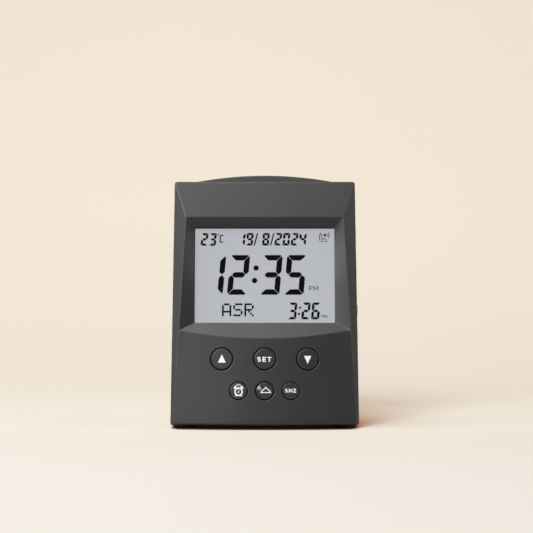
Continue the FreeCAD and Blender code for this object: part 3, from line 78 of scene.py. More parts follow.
low, high = (Vector(corner) for corner in cad_box)
print("clock is %.1f x %.1f x %.1f mm" % tuple((high - low) / MM))

# %% [markdown]
# ## The leaning face
# Keys and digits lie on a face that leans back. Rather than repeat the angle, it is read from the
# direction in which the middle key is pressed: straight into the face. From it come the three directions
# that every flat mark uses, across, up along the face, and out of it.

# %% Directions of the face
press = next(Vector(j["axis"]) for j in frame["joints"] if j["name"] == "key_set_press")
ACROSS = Vector((1, 0, 0))
OUT = -press.normalized()
UP = OUT.cross(ACROSS)


def middle(node):
    """Middle of a CAD node's box."""
    lowest, highest = (Vector(corner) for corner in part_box(node))
    return (lowest + highest) / 2


def flat_place(origin):
    """Matrix that lays a drawing in x and y on the face, with z out of it."""
    turn = Matrix((ACROSS, UP, OUT)).transposed().to_4x4()
    return Matrix.Translation(origin) @ turn


print("face leans back %.1f degrees" % math.degrees(math.atan2(OUT.z, -OUT.y)))

# %% [markdown]
# ## The camera
# A long lens from almost a metre away keeps the sides of the case nearly parallel, as in a shop picture.
# The camera looks straight ahead from just below the middle of the display, so the floor shows as a
# narrow band.

# %% Place the camera
CAMERA_HEIGHT = 80.85 * MM
CAMERA_ACROSS = 0.87 * MM
CAMERA_BACK = 919.44 * MM
LENS = 121.6
SENSOR = 36
camera_data = bpy.data.cameras.new("studio_camera")
camera_data.lens = LENS
camera_data.sensor_width = SENSOR
camera = bpy.data.objects.new("studio_camera", camera_data)
camera.location = (CAMERA_ACROSS, -CAMERA_BACK, CAMERA_HEIGHT)
camera.rotation_euler = (math.radians(90), 0, 0)
bpy.context.collection.objects.link(camera)
bpy.context.scene.camera = camera
print("camera %.0f mm in front of the middle of the clock" % (CAMERA_BACK / MM))

# %% [markdown]
# ## Helpers for nodes
# A material is one Principled shader with nodes in front of it, and a node is best read as one line: what
# kind it is, and what goes into each of its inputs. So feed() gives an input either a plain number or a
# link from another node, whichever it is handed, and node() makes a node and feeds it. Plain numbers on
# the Principled shader itself are also what other programs read.


# %% Node helpers
def feed(made, **values):
    """Give a node's inputs, by name with _ for a space or by number as i_0, a value or another output."""
    for key, value in values.items():
        socket = made.inputs[int(key[2:]) if key.startswith("i_") else key.replace("_", " ")]
        if isinstance(value, bpy.types.NodeSocket):
            made.id_data.links.new(value, socket)
        else:
            socket.default_value = value
    return made


def node(tree, kind, **settings):
    """New node: names in small letters are its own settings, capitals and i_0 are inputs for feed()."""
    made = tree.nodes.new(kind)
    for key, value in settings.items():
        if key[0].islower() and not key.startswith("i_"):
            setattr(made, key, value)
        else:
            feed(made, **{key: value})
    return made


def calc(tree, operation, *values):
    """Output of a Math node; each value is a number or another output."""
    inputs = {"i_%d" % i: value for i, value in enumerate(values)}
    return node(tree, "ShaderNodeMath", operation=operation, **inputs).outputs[0]


def graded(tree, value, start, end, top=1.0):
    """Output that goes from 0 to top while a value goes from start to end."""
    ramp = node(tree, "ShaderNodeMapRange", Value=value, From_Min=start, From_Max=end, To_Max=top)
    return ramp.outputs["Result"]


def finish(name, **values):
    """New material; values are inputs of its Principled shader."""
    material = bpy.data.materials.new(name)
    material.use_nodes = True
    feed(material.node_tree.nodes["Principled BSDF"], **values)
    return material


print("helpers for nodes ready")

# %% [markdown]
# An effect that several materials share is a group of its own, built once. It only puts out colours,
# numbers and normals, and the shader that uses them stays in the material.


# %% Helpers for groups
def group(name, inputs, outputs):
    """Empty shader group from rows of (name, type, default), the outputs of its start, and its end."""
    tree = bpy.data.node_groups.new(name, "ShaderNodeTree")
    for label, kind, default in inputs:
        made = tree.interface.new_socket(label, in_out="INPUT", socket_type="NodeSocket" + kind)
        if default is not None:
            made.default_value = default
    for label, kind in outputs:
        tree.interface.new_socket(label, in_out="OUTPUT", socket_type="NodeSocket" + kind)
    return tree, tree.nodes.new("NodeGroupInput").outputs, tree.nodes.new("NodeGroupOutput")


def use_group(tree, kind, **values):
    """Outputs of a group placed in a material's tree."""
    return node(tree, "ShaderNodeGroup", node_tree=kind, **values).outputs


def by_ray(tree, ray, others, own):
    """Shader that is own for one kind of ray and others for the rest."""
    chosen = node(tree, "ShaderNodeLightPath").outputs[ray]
    return node(tree, "ShaderNodeMixShader", i_0=chosen, i_1=others, i_2=own).outputs[0]


print("helpers for groups ready")

# %% [markdown]
# ## Moulded grain
# The steel mould of a plastic case is spark-eroded, which leaves a fine, even grain that scatters the
# light. Two octaves of noise do it: a fine one for the grain, whose height goes to a Bump node, and a
# broad, weak one that shifts roughness and colour a little, because no moulding is perfectly even. Object
# coordinates keep both fixed to the part at their real scale.

# %% Group: moulded grain
grain, given, result = group(
    "moulded grain",
    [("Grain Size", "Float", 0.0003), ("Colour", "Color", None), ("Roughness", "Float", 0.5),
     ("Unevenness", "Float", 0.1)],
    [("Height", "Float"), ("Colour", "Color"), ("Roughness", "Float")])
UNEVEN_PER_METRE = 38.0
on_part = node(grain, "ShaderNodeTexCoord").outputs["Object"]
per_metre = calc(grain, "DIVIDE", 1.0, given["Grain Size"])
fine = node(grain, "ShaderNodeTexNoise", Vector=on_part, Scale=per_metre, Detail=2.0, Roughness=0.6)
broad = node(grain, "ShaderNodeTexNoise", Vector=on_part, Scale=UNEVEN_PER_METRE, Detail=3.0)
centred = calc(grain, "SUBTRACT", broad.outputs["Fac"], 0.5)
shade = calc(grain, "MULTIPLY_ADD", centred, given["Unevenness"], 1.0)
tinted = node(grain, "ShaderNodeVectorMath", operation="SCALE", i_0=given["Colour"], Scale=shade)
feed(result, Height=fine.outputs["Fac"], Colour=tinted.outputs["Vector"],
     Roughness=calc(grain, "MULTIPLY_ADD", centred, given["Unevenness"], given["Roughness"]))
print("group", grain.name, "has", len(grain.nodes), "nodes")

# %% [markdown]
# ## Soft and worn edges, with a painted highlight
# A mould leaves a small radius on every edge, and that radius catches the light along a ridge. Where the
# solid is sharp, a Bevel node bends the shading normal near the edge. The same node tells where edges
# are: the more its normal departs from the real one, the nearer the edge. There the grain is rubbed down
# by hands and cloths, so the plastic is a little smoother, and its colour is made a little lighter: a painted
# highlight along the edge. The group is built once and used by every moulding.

# %% Group: worn edges with a painted highlight
worn_highlit, given, result = group(
    "worn edges",
    [("Radius", "Float", 0.0004), ("Colour", "Color", None), ("Roughness", "Float", 0.5),
     ("Lighter", "Float", 0.03), ("Smoother", "Float", 0.1)],
    [("Colour", "Color"), ("Roughness", "Float"), ("Normal", "Vector")])
WEAR_HIGHLIGHT_STARTS, WEAR_HIGHLIGHT_FULL = 0.999, 0.92
edge_normal = node(worn_highlit, "ShaderNodeBevel", samples=6, Radius=given["Radius"]).outputs["Normal"]
real_normal = node(worn_highlit, "ShaderNodeNewGeometry").outputs["Normal"]
agreement = node(worn_highlit, "ShaderNodeVectorMath", operation="DOT_PRODUCT", i_0=edge_normal, i_1=real_normal)
wear_and_highlight = graded(worn_highlit, agreement.outputs["Value"], WEAR_HIGHLIGHT_STARTS, WEAR_HIGHLIGHT_FULL)
# Painted highlight: the colour is made lighter near edges.
lighter = node(worn_highlit, "ShaderNodeVectorMath", operation="ADD", i_0=given["Colour"],
               i_1=calc(worn_highlit, "MULTIPLY", wear_and_highlight, given["Lighter"]))
smoother = calc(worn_highlit, "MULTIPLY", wear_and_highlight, given["Smoother"])
feed(result, Colour=lighter.outputs["Vector"], Normal=edge_normal,
     Roughness=calc(worn_highlit, "SUBTRACT", given["Roughness"], smoother))
print("group", worn_highlit.name, "has", len(worn_highlit.nodes), "nodes")

# %% [markdown]
# ## Black plastic
# Every moulding needs the same chain, so one function builds it. The grain's colour and roughness pass
# through the worn and highlit edges to the shader, and its height bends the normal that the edges have
# already rounded. The front shell and the keys are smoother and darker than the rear shell, as mould
# makers texture a hidden side coarser; the rear shell's lighter colour is partly painted light that
# brightens the crown.

# %% Plastic with grain and worn edges
GRAIN_STRENGTH = 0.6


def moulded(name, colour, roughness, grain_size, grain_depth, edge, uneven=0.1, specular=0.5,
            lighter=0.02, smoother=0.08):
    """Textured moulding; grain_size, grain_depth and edge are in metres."""
    material = finish(name, Specular_IOR_Level=specular)
    tree = material.node_tree
    surface = use_group(tree, grain, Grain_Size=grain_size, Colour=(*colour, 1), Roughness=roughness,
                        Unevenness=uneven)
    edges = use_group(tree, worn_highlit, Radius=edge, Lighter=lighter, Smoother=smoother,
                      Colour=surface["Colour"], Roughness=surface["Roughness"])
    bump = node(tree, "ShaderNodeBump", Strength=GRAIN_STRENGTH, Distance=grain_depth,
                Height=surface["Height"], Normal=edges["Normal"])
    feed(tree.nodes["Principled BSDF"], Base_Color=edges["Colour"], Roughness=edges["Roughness"],
         Normal=bump.outputs["Normal"])
    return material


# lighter is the painted highlight along edges; smoother is the rubbed grain.
case_plastic = moulded("black_case_plastic", (0.021, 0.0205, 0.021), 0.42, 0.00028, 0.00001, 0.0007,
                       lighter=0.05, smoother=0.12)
# Its lighter colour is partly painted light that brightens the crown.
rear_plastic = moulded("black_rear_plastic", (0.039, 0.0385, 0.039), 0.5, 0.0004, 0.00002, 0.0005, 0.15)
key_plastic = moulded("black_key_plastic", (0.019, 0.0186, 0.019), 0.4, 0.00022, 0.000008, 0.0005,
                      lighter=0.06, smoother=0.14)
white_plastic = moulded("white_inner_plastic", (0.72, 0.72, 0.7), 0.5, 0.0003, 0.00001, 0.0002)
print("mouldings:", case_plastic.name, key_plastic.name, white_plastic.name)

# %% [markdown]
# ## Rubber, board, resin and metals
# The inner pieces show when the cover is open or the shells are apart, so each has its real finish.
# Rubber is dull and slightly dusty; a circuit board is green lacquer with a faint weave; nickel and zinc
# differ mostly in roughness and warmth.

# %% Plain finishes with the same grain
rubber = moulded("black_rubber", (0.018, 0.018, 0.018), 0.78, 0.0006, 0.00003, 0.0002, 0.3, 0.3)
silicone = moulded("grey_silicone", (0.42, 0.43, 0.45), 0.55, 0.0008, 0.00001, 0.0002)
paper_cone = moulded("paper_cone", (0.03, 0.028, 0.026), 0.85, 0.0009, 0.00006, 0.0001, 0.4, 0.2)
resin = moulded("black_resin", (0.012, 0.012, 0.012), 0.22, 0.002, 0.00001, 0.0002)
lacquer = moulded("green_lacquer", (0.02, 0.11, 0.045), 0.3, 0.0011, 0.00001, 0.0001, 0.35)
insulation = moulded("red_insulation", (0.32, 0.02, 0.015), 0.4, 0.001, 0.00001, 0.0001)
ferrite = moulded("dark_ferrite", (0.035, 0.035, 0.037), 0.6, 0.0005, 0.00002, 0.0002)
METAL_GRAIN_DEPTH = 0.000004
METAL_EDGE = 0.00015
METAL_UNEVEN = 0.25


def metal(name, colour, roughness, grain_size):
    """Plated or rolled metal: the same grain, much shallower, on a metallic shader."""
    material = moulded(name, colour, roughness, grain_size, METAL_GRAIN_DEPTH, METAL_EDGE, METAL_UNEVEN)
    feed(material.node_tree.nodes["Principled BSDF"], Metallic=1.0)
    return material


zinc = metal("bright_zinc", (0.62, 0.62, 0.64), 0.28, 0.0012)
nickel = metal("nickel_spring", (0.7, 0.66, 0.6), 0.22, 0.002)
can_metal = metal("bare_can", (0.74, 0.74, 0.76), 0.3, 0.001)
print("plain finishes ready")

# %% [markdown]
# ## The window and the glass behind it
# The display window is clear moulded plastic with a coating that keeps reflections low, which is why its
# specular level is small. Glass in a ray tracer casts a dark shadow on what it covers, so lamps are let
# through it with the Light Path node: for shadow rays the surface is simply transparent.


# %% Clear pieces
def clear(name, tint, specular):
    """Clear plastic or glass that lets the lamps through."""
    material = finish(name, Base_Color=(*tint, 1), Roughness=0.0, Transmission_Weight=1.0, IOR=1.45,
                      Specular_IOR_Level=specular)
    tree = material.node_tree
    through = node(tree, "ShaderNodeBsdfTransparent").outputs[0]
    surface = by_ray(tree, "Is Shadow Ray", tree.nodes["Principled BSDF"].outputs[0], through)
    feed(tree.nodes["Material Output"], Surface=surface)
    return material


window_plastic = clear("clear_window", (1, 1, 1), 0.04)
display_glass = clear("display_glass", (0.95, 0.98, 0.97), 0.5)
print("clear pieces:", window_plastic.name, display_glass.name)

# %% [markdown]
# ## The polariser and the inks
# The polariser film over the liquid crystal has the cool grey of the display. Behind the glass a lamp and
# a reflector send light back through it, and part of its brightness is an even emission: painted light,
# strong enough that the display stays flat and bright down in the funnel, without the funnel's shade.
# The segments are the places where the crystal blocks that light, nearly black and without gloss.

# %% Film and inks
PRINT_EDGE = 0.0001


def ink(name, colour, roughness, grain_size, grain_depth, uneven, specular):
    """Print, or another thin layer, that nothing rubs: no wear and no painted highlight at its edges."""
    return moulded(name, colour, roughness, grain_size, grain_depth, PRINT_EDGE, uneven, specular,
                   lighter=0, smoother=0)


polariser = moulded("grey_polariser", (0.03, 0.031, 0.033), 0.6, 0.0004, 0.000001, 0.0001, 0.02, 0.1)
# Painted light: an even glow strong enough that the funnel's shade doesn't show on the display.
feed(polariser.node_tree.nodes["Principled BSDF"], Emission_Color=(0.446, 0.459, 0.489, 1),
     Emission_Strength=1.0)
segment_ink = ink("display_segment", (0.002, 0.002, 0.0025), 0.7, 0.0004, 0.000001, 0.0, 0.0)
faint_ink = ink("display_thin_segment", (0.012, 0.012, 0.014), 0.7, 0.0004, 0.000001, 0.0, 0.0)
legend_ink = ink("white_key_print", (0.8, 0.8, 0.79), 0.5, 0.0002, 0.000004, 0.05, 0.4)
# A black sheet of painted shade for the walls of the window's opening.
shade_lining_black = ink("black_foam", (0.004, 0.004, 0.004), 0.95, 0.0003, 0.00002, 0.3, 0.1)
cell_jacket = moulded("cell_jacket", (0.05, 0.06, 0.09), 0.3, 0.003, 0.000004, 0.0002)
print("display and print finishes ready")

# %% [markdown]
# ## Dress the CAD nodes
# Every solid of the frame keeps its shape and takes the finish of its material slot. The table below goes
# from slot to finish, and the record says which slot each node has.

# %% Finish for every slot
FINISH_OF_SLOT = {
    "case_plastic": case_plastic, "key_plastic": key_plastic, "window": window_plastic,
    "display_glass": display_glass, "polariser": polariser, "white_plastic": white_plastic,
    "silicone": silicone, "board": lacquer, "black_epoxy": resin, "steel": zinc,
    "can": can_metal, "nickel": nickel, "cell_jacket": cell_jacket, "magnet": ferrite,
    "cone": paper_cone, "rubber": rubber, "wire": insulation,
}
for part in frame["record"]["subparts"]:
    mesh = frame["nodes"][part["node"]].data
    mesh.materials.clear()
    mesh.materials.append(FINISH_OF_SLOT[part["material_slot"]])
for name in ("rear_shell", "battery_cover", "cover_latch"):
    frame["nodes"][name].data.materials[0] = rear_plastic

# %% [markdown]
# ## Flat shapes
# Digits, letters and icons are all flat outlines. A few small helpers draw them in millimetres: outlines
# with straight or rounded corners, an arc, a thick line, a disc and a ring. The last three come as lists
# of polygons, so an icon is just a sum of lists.


# %% Outline helpers
def rounded(points, radius, steps=3):
    """Outline with each corner replaced by a short curve."""
    result = []
    count = len(points)
    for i, corner in enumerate(points):
        here = Vector(corner)
        before = Vector(points[i - 1]) - here
        after = Vector(points[(i + 1) % count]) - here
        reach = min(radius, before.length / 2.1, after.length / 2.1)
        start = here + before.normalized() * reach
        end = here + after.normalized() * reach
        for step in range(steps + 1):
            t = step / steps
            result.append(tuple(start * (1 - t) ** 2 + here * 2 * t * (1 - t) + end * t ** 2))
    return result


def rectangle(left, foot, right, top):
    """Outline of a rectangle, from its lower left corner."""
    return [(left, foot), (right, foot), (right, top), (left, top)]


def arc(x, y, radius, start, end, steps=16):
    """Points along an arc, angles in degrees."""
    angles = [math.radians(start + (end - start) * i / steps) for i in range(steps + 1)]
    return [(x + radius * math.cos(a), y + radius * math.sin(a)) for a in angles]


def disc(x, y, radius, steps=24):
    """Round face as one polygon."""
    return [arc(x, y, radius, 0, 360, steps)[:-1]]


def band(points, width):
    """Thick open line as a strip of quads, with mitred joints."""
    line = [Vector(p) for p in points]
    sides = []
    for i, p in enumerate(line):
        last = i + 1 == len(line)
        ahead = (p - line[i - 1]).normalized() if last else (line[i + 1] - p).normalized()
        behind = (p - line[i - 1]).normalized() if i else ahead
        along = (ahead + behind).normalized()
        across = Vector((-along.y, along.x)) * (width / 2 / max(0.35, along.dot(ahead)))
        sides.append((tuple(p + across), tuple(p - across)))
    return [[a[0], a[1], b[1], b[0]] for a, b in zip(sides, sides[1:])]


def ring(x, y, radius, width, steps=32):
    """Circle of a given line width."""
    return band(arc(x, y, radius, 0, 360, steps), width)


print("an outline of 4 corners gets", len(rounded(rectangle(0, 0, 1, 1), 0.2)), "points")

# %% [markdown]
# ## From outlines to a piece
# A drawing in millimetres becomes one mesh object, laid on the face. The object stays at the origin and
# its place goes into the mesh, so that patterns and exports agree with the CAD solids.


# %% Make a flat piece
def as_mesh(build, name, turn_out=True):
    """Mesh from a bmesh, which is freed; the faces of a closed solid are first turned outwards."""
    if turn_out:
        bmesh.ops.recalc_face_normals(build, faces=build.faces)
    mesh = bpy.data.meshes.new(name)
    build.to_mesh(mesh)
    build.free()
    return mesh


def flat_mesh(name, polygons):
    """Mesh in metres from polygons drawn in millimetres, all facing +z."""
    build = bmesh.new()
    for polygon in polygons:
        face = build.faces.new([build.verts.new((x * MM, y * MM, 0)) for x, y in polygon])
        face.normal_update()
        if face.normal.z < 0:
            face.normal_flip()
    return as_mesh(build, name, turn_out=False)


def as_piece(name, mesh, material, body):
    """Object at the origin that rides on a body."""
    mesh.materials.clear()
    mesh.materials.append(material)
    made = bpy.data.objects.new(name, mesh)
    bpy.context.collection.objects.link(made)
    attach(made, body)
    return made


print("flat pieces ready")

# %% [markdown]
# ## The digits of the display
# A liquid crystal digit is seven segments with mitred ends and hairline gaps, leaning a little to the
# right. All segments are turns of four shapes: a top bar, an upper and a lower side, and a middle bar. A
# Geometry Nodes tree puts the right shape on one point for each lit segment, so a digit is only a list of
# points.


# %% The four segment shapes
def segment_shapes(width, height, stroke, gap, lean):
    """Top bar, upper side, lower side and middle bar of a leaning digit, as outlines."""
    w, h, t = width / 2, height / 2, stroke
    s = gap / math.sqrt(2)
    k = 0.34 * stroke
    top = [(k + s - w, h), (w - s - k, h), (w - s - k / 2, h - k / 2), (w - s - t, h - t),
           (s + t - w, h - t), (s + k / 2 - w, h - k / 2)]
    upper = [(w, h - s - k), (w - k / 2, h - s - k / 2), (w - t, h - t - s), (w - t, t / 2 + s),
             (w - t / 2, s), (w, t / 2 + s)]
    lower = [(x, -y) for x, y in reversed(upper)]
    bar = [(s + t / 2 - w, 0), (s + t - w, -t / 2), (w - s - t, -t / 2), (w - s - t / 2, 0),
           (w - s - t, t / 2), (s + t - w, t / 2)]
    return [rounded([(x + y * lean, y) for x, y in shape], 0.16 * stroke, 2)
            for shape in (top, upper, lower, bar)]


for label, shape in zip(("top", "upper", "lower", "bar"), segment_shapes(9.9, 20.1, 2.54, 0.28, 0.09)):
    print(label, len(shape), "points")

# %% [markdown]
# All the trees of this clock do the same thing: they put a shape on each point of a mesh, make the copies
# real and give them a material. So one function builds them. Its inputs are the points, the shapes, the
# material and anything more that a tree needs.


# %% Tree that stamps shapes
def stamping_tree(name, shapes, material, **more):
    """Tree, outputs of its start, and the node that puts one shape, or one of several, on each point."""
    tree = bpy.data.node_groups.new(name, "GeometryNodeTree")
    sockets = {"Geometry": "Geometry", **{label: "Object" for label in shapes}, material: "Material", **more}
    for label, kind in sockets.items():
        tree.interface.new_socket(label, in_out="INPUT", socket_type="NodeSocket" + kind)
    tree.interface.new_socket("Geometry", in_out="OUTPUT", socket_type="NodeSocketGeometry")
    start = tree.nodes.new("NodeGroupInput").outputs
    joined = node(tree, "GeometryNodeJoinGeometry")
    for label in reversed(shapes):
        shape = node(tree, "GeometryNodeObjectInfo", Object=start[label], As_Instance=True)
        tree.links.new(shape.outputs["Geometry"], joined.inputs[0])
    stamp = node(tree, "GeometryNodeInstanceOnPoints", Points=start["Geometry"], Instance=joined.outputs[0])
    real = node(tree, "GeometryNodeRealizeInstances", i_0=stamp.outputs[0])
    coated = node(tree, "GeometryNodeSetMaterial", Geometry=real.outputs[0], Material=start[material])
    feed(tree.nodes.new("NodeGroupOutput"), i_0=coated.outputs[0])
    return tree, start, stamp


print("stamping trees can be built")

# %% [markdown]
# The tree for digits reads two numbers on each point: which shape to use, and how far it is turned. A
# half turn makes the bottom bar from the top one and the left sides from the right ones, also when the
# digit leans.

# %% Tree: lit segments
segment_tree, start, stamp = stamping_tree(
    "lit segments", ("Top Bar", "Upper Side", "Lower Side", "Middle Bar"), "Ink")
shape = node(segment_tree, "GeometryNodeInputNamedAttribute", data_type="INT", Name="shape")
turn = node(segment_tree, "GeometryNodeInputNamedAttribute", data_type="FLOAT", Name="turn")
spin = node(segment_tree, "ShaderNodeCombineXYZ", Z=turn.outputs["Attribute"])
feed(stamp, Pick_Instance=True, Instance_Index=shape.outputs["Attribute"], Rotation=spin.outputs[0])
print("tree", segment_tree.name, "has", len(segment_tree.nodes), "nodes")

# %% [markdown]
# A modifier's inputs are set by the socket's identifier before the object is first evaluated. The
# evaluated result is then turned into a plain mesh, and the modifier goes away with the helper object.


# %% Run a tree and keep its mesh
def helper_object(name, mesh):
    """Object that only a tree or a modifier reads; it is removed afterwards."""
    made = bpy.data.objects.new(name, mesh)
    bpy.context.collection.objects.link(made)
    return made


def evaluated_mesh(holder, *helpers):
    """Plain mesh of an object with its modifiers done; it and its helpers are then removed."""
    ready = holder.evaluated_get(bpy.context.evaluated_depsgraph_get())
    mesh = bpy.data.meshes.new_from_object(ready)
    for made in (holder, *helpers):
        bpy.data.objects.remove(made)
    return mesh


def grown(tree, points, **values):
    """Plain mesh that a Geometry Nodes tree makes from points; helper objects among the values go too."""
    holder = helper_object("holder", points)
    modifier = holder.modifiers.new("tree", "NODES")
    modifier.node_group = tree
    for item in tree.interface.items_tree:
        key = item.name.replace(" ", "_")
        if item.in_out == "INPUT" and key in values:
            modifier[item.identifier] = values[key]
    helpers = [value for value in values.values() if isinstance(value, bpy.types.Object)]
    return evaluated_mesh(holder, *helpers)


def point_mesh(places, **attributes):
    """Loose points in metres, with one value per point for each attribute: (type, values)."""
    mesh = bpy.data.meshes.new("points")
    mesh.from_pydata([(x * MM, y * MM, 0) for x, y in places], [], [])
    for name, (kind_of, numbers) in attributes.items():
        layer = mesh.attributes.new(name, kind_of, "POINT")
        layer.data.foreach_set("value", numbers)
    return mesh


print("trees can be run")

# %% [markdown]
# Three sizes of digit are on the display: the time of day, the date with the temperature, and the next
# prayer. Each entry below gives a digit and the place of its middle, in millimetres from the middle of
# the window.

# %% Digits that are lit
LIT = {"0": "abcdef", "1": "bc", "2": "abdeg", "3": "abcdg", "4": "bcfg", "5": "acdfg", "6": "acdefg",
       "8": "abcdefg", "9": "abcdfg"}
# Which shape a segment is, and how many half turns it gets.
SEGMENT = {"a": (0, 0), "b": (1, 0), "c": (2, 0), "d": (0, 1), "e": (1, 1), "f": (2, 1), "g": (3, 0)}
LEAN = 0.088
TIME = [("1", -25.48, 0.6), ("2", -13.32, 0.6), ("3", 3.28, 0.6), ("5", 15.54, 0.6)]
DATE = [("2", -30.74, 18.92), ("3", -26.47, 18.92), ("1", -11.73, 19.02), ("9", -7.64, 19.02),
        ("8", 0.58, 19.02), ("2", 6.87, 19.02), ("0", 11.03, 19.02), ("2", 15.2, 19.02), ("4", 19.35, 19.02)]
PRAYER = [("3", 14.11, -17.94), ("2", 20.86, -17.94), ("6", 25.79, -17.94)]


def digits(entries, width, height, stroke, gap):
    """Mesh of all lit segments of a list of digits."""
    places, kinds, turns = [], [], []
    for digit, x, y in entries:
        for letter in LIT[digit]:
            kind, half_turns = SEGMENT[letter]
            places.append((x, y))
            kinds.append(kind)
            turns.append(math.pi * half_turns)
    outlines = segment_shapes(width, height, stroke, gap, LEAN)
    top, upper, lower, bar = [helper_object("stamp", flat_mesh("stamp", [outline])) for outline in outlines]
    points = point_mesh(places, shape=("INT", kinds), turn=("FLOAT", turns))
    return grown(segment_tree, points, Top_Bar=top, Upper_Side=upper, Lower_Side=lower, Middle_Bar=bar,
                 Ink=segment_ink)


time_mesh = digits(TIME, 10.05, 20.45, 2.8, 0.17)
date_mesh = digits(DATE, 3.54, 6.5, 1.2, 0.12)
prayer_mesh = digits(PRAYER, 4.15, 8.6, 1.26, 0.14)
print("lit segments:", len(time_mesh.polygons), len(date_mesh.polygons), len(prayer_mesh.polygons))

# %% [markdown]
# ## Letters made of dots
# The name of the next prayer stands in dot letters, five dots wide and seven high. Each row below is one
# line of dots. The tree puts a square with soft corners on every dot that is lit.

# %% Tree: dot letters
DOT_ROWS = {
    "A": ("01110", "10001", "10001", "10001", "11111", "10001", "10001"),
    "S": ("01111", "10000", "10000", "01110", "00001", "00001", "11110"),
    "R": ("11110", "10001", "10001", "11110", "10100", "10010", "10001"),
}
FIRST_DOT_X, FIRST_DOT_Y = -21.21, -14.53
DOT_PITCH = 0.945
DOT_HALF = 0.47
DOT_CORNER = 0.12
LETTER_STEP = 6
dots = [(FIRST_DOT_X + (column + LETTER_STEP * i) * DOT_PITCH, FIRST_DOT_Y - row * DOT_PITCH)
        for i, letter in enumerate("ASR")
        for row, line in enumerate(DOT_ROWS[letter])
        for column, lit in enumerate(line) if lit == "1"]
square = rounded(rectangle(-DOT_HALF, -DOT_HALF, DOT_HALF, DOT_HALF), DOT_CORNER, 2)
dot = helper_object("dot", flat_mesh("dot", [square]))
dot_tree = stamping_tree("dot letters", ("Dot",), "Ink")[0]
asr_mesh = grown(dot_tree, point_mesh(dots), Dot=dot, Ink=segment_ink)
print("dots lit:", len(dots))

# %% [markdown]
# ## Letters drawn with strokes
# The PM marks of the display and the words on the keys are plain capitals. They could come from a font,
# but at this size a font's thin joints close up. So each letter is drawn from strokes of one width in its
# own box: thin for the display, bold and widely spaced for the keys. Letters stay crisp from close by and
# never touch.


# %% Capitals
def capital(letter, x, y, width, height, stroke):
    """Polygons of one capital whose box has its lower left corner at (x, y)."""
    half = stroke / 2
    right, top = x + width, y + height
    centre, stem = y + height / 2, x + width / 2
    if letter == "E":
        spine = [(right, top - half), (x + half, top - half), (x + half, y + half), (right, y + half)]
        tongue = [(x + stroke, centre), (right - 0.2 * stroke, centre)]
        return band(spine, stroke) + band(tongue, stroke * 0.94)
    if letter == "T":
        beam = band([(x, top - half), (right, top - half)], stroke)
        return beam + band([(stem, top - stroke), (stem, y)], stroke)
    if letter == "N":
        lean = 1.6 * stroke
        return [[(x, y), (x + stroke, y), (x + stroke, top - lean), (right - stroke, y), (right, y),
                 (right, top), (right - stroke, top), (right - stroke, y + lean), (x + stroke, top),
                 (x, top)]]
    if letter == "Z":
        lean = 1.35 * stroke
        return [[(x, top), (right, top), (right, top - stroke), (x + lean, y + stroke), (right, y + stroke),
                 (right, y), (x, y), (x, y + stroke), (right - lean, top - stroke), (x, top - stroke)]]
    if letter == "M":
        dip = y + 0.3 * height
        return [[(x, y), (x + stroke, y), (x + stroke, top - 1.6 * stroke), (stem, dip - stroke),
                 (right - stroke, top - 1.6 * stroke), (right - stroke, y), (right, y), (right, top),
                 (right - 1.1 * stroke, top), (stem, dip + 0.8 * stroke), (x + 1.1 * stroke, top), (x, top)]]
    if letter == "P":
        bowl = height * 0.27 - half / 2
        turn = arc(right - bowl - half, top - half - bowl, bowl, 90, -90, 8)
        loop = [(x + stroke, top - half)] + turn + [(x + stroke, turn[-1][1])]
        return [rectangle(x, y, x + stroke, top)] + band(loop, stroke)
    # What is left is an S, two bends that meet in the middle.
    wide, tall = width / 2 - half, height / 4 - half / 2
    upper, lower = centre + tall, centre - tall
    bends = [(upper, a) for a in range(20, 271, 25)] + [(lower, a) for a in range(65, -161, -25)]
    return band([(stem + wide * math.cos(math.radians(a)), level + tall * math.sin(math.radians(a)))
                 for level, a in bends], stroke)


def word(text, widths, x, y, height, stroke, space):
    """Polygons of a word, letter by letter with its own widths."""
    result = []
    for letter, width in zip(text, widths):
        result += capital(letter, x, y, width, height, stroke)
        x += width + space
    return result


print("SET has", len(word("SET", (2.0, 1.75, 2.05), 0, 0, 2.5, 0.56, 0.66)), "faces")

# %% [markdown]
# ## Colons, slashes and the prayer sign
# What is left on the display is drawn straight from the outline helpers: two colons, two slashes, the
# degree sign, and a small sign for the call to prayer, a slim tower and a low dome beside a loudspeaker.
# None of these shapes overlap, because faces that lie in one plane on top of each other make a ray tracer
# flicker.

# %% Signs on the display
COLON_DOT, SMALL_COLON_DOT = 1.38, 0.6
SLASH_TOP, SLASH_FOOT = 22.15, 15.8
SLASH_LEAN = 1.76
SLASH_WIDTH = 0.66
signs = disc(-4.38, 4.12, COLON_DOT) + disc(-5.2, -2.33, COLON_DOT)
signs += disc(17.78, -16.3, SMALL_COLON_DOT) + disc(17.3, -19.48, SMALL_COLON_DOT)
for x in (-3.65, 4.67):
    signs += band([(x, SLASH_TOP), (x - SLASH_LEAN, SLASH_FOOT)], SLASH_WIDTH)
degree = ring(-23.68, 21.6, 0.36, 0.26, 16)
celsius = band([(-21.08, 20.98), (-22.23, 21.03), (-22.58, 20.73), (-22.83, 17.93), (-22.53, 17.58),
                (-21.28, 17.58)], 0.6)
signs += degree + celsius
faint = word("PM", (1.75, 2.4), 22.5, -7.64, 2.5, 0.32, 0.5)
faint += word("PM", (1.1, 1.55), 28.7, -21.6, 1.6, 0.25, 0.3)
tower = band([(27.95, 18.3), (27.92, 21.15), (28.42, 22.15), (28.92, 21.15), (28.95, 19.55)], 0.36)
dome = band([(28.35, 17.75), (31.75, 17.75)], 0.34) + band(arc(30.05, 17.42, 1.75, 150, 30, 10), 0.34)
dome += disc(30.0, 19.62, 0.3, 12)
loudspeaker = [[(29.6, 21.16), (31.15, 20.1), (31.15, 22.22)]]
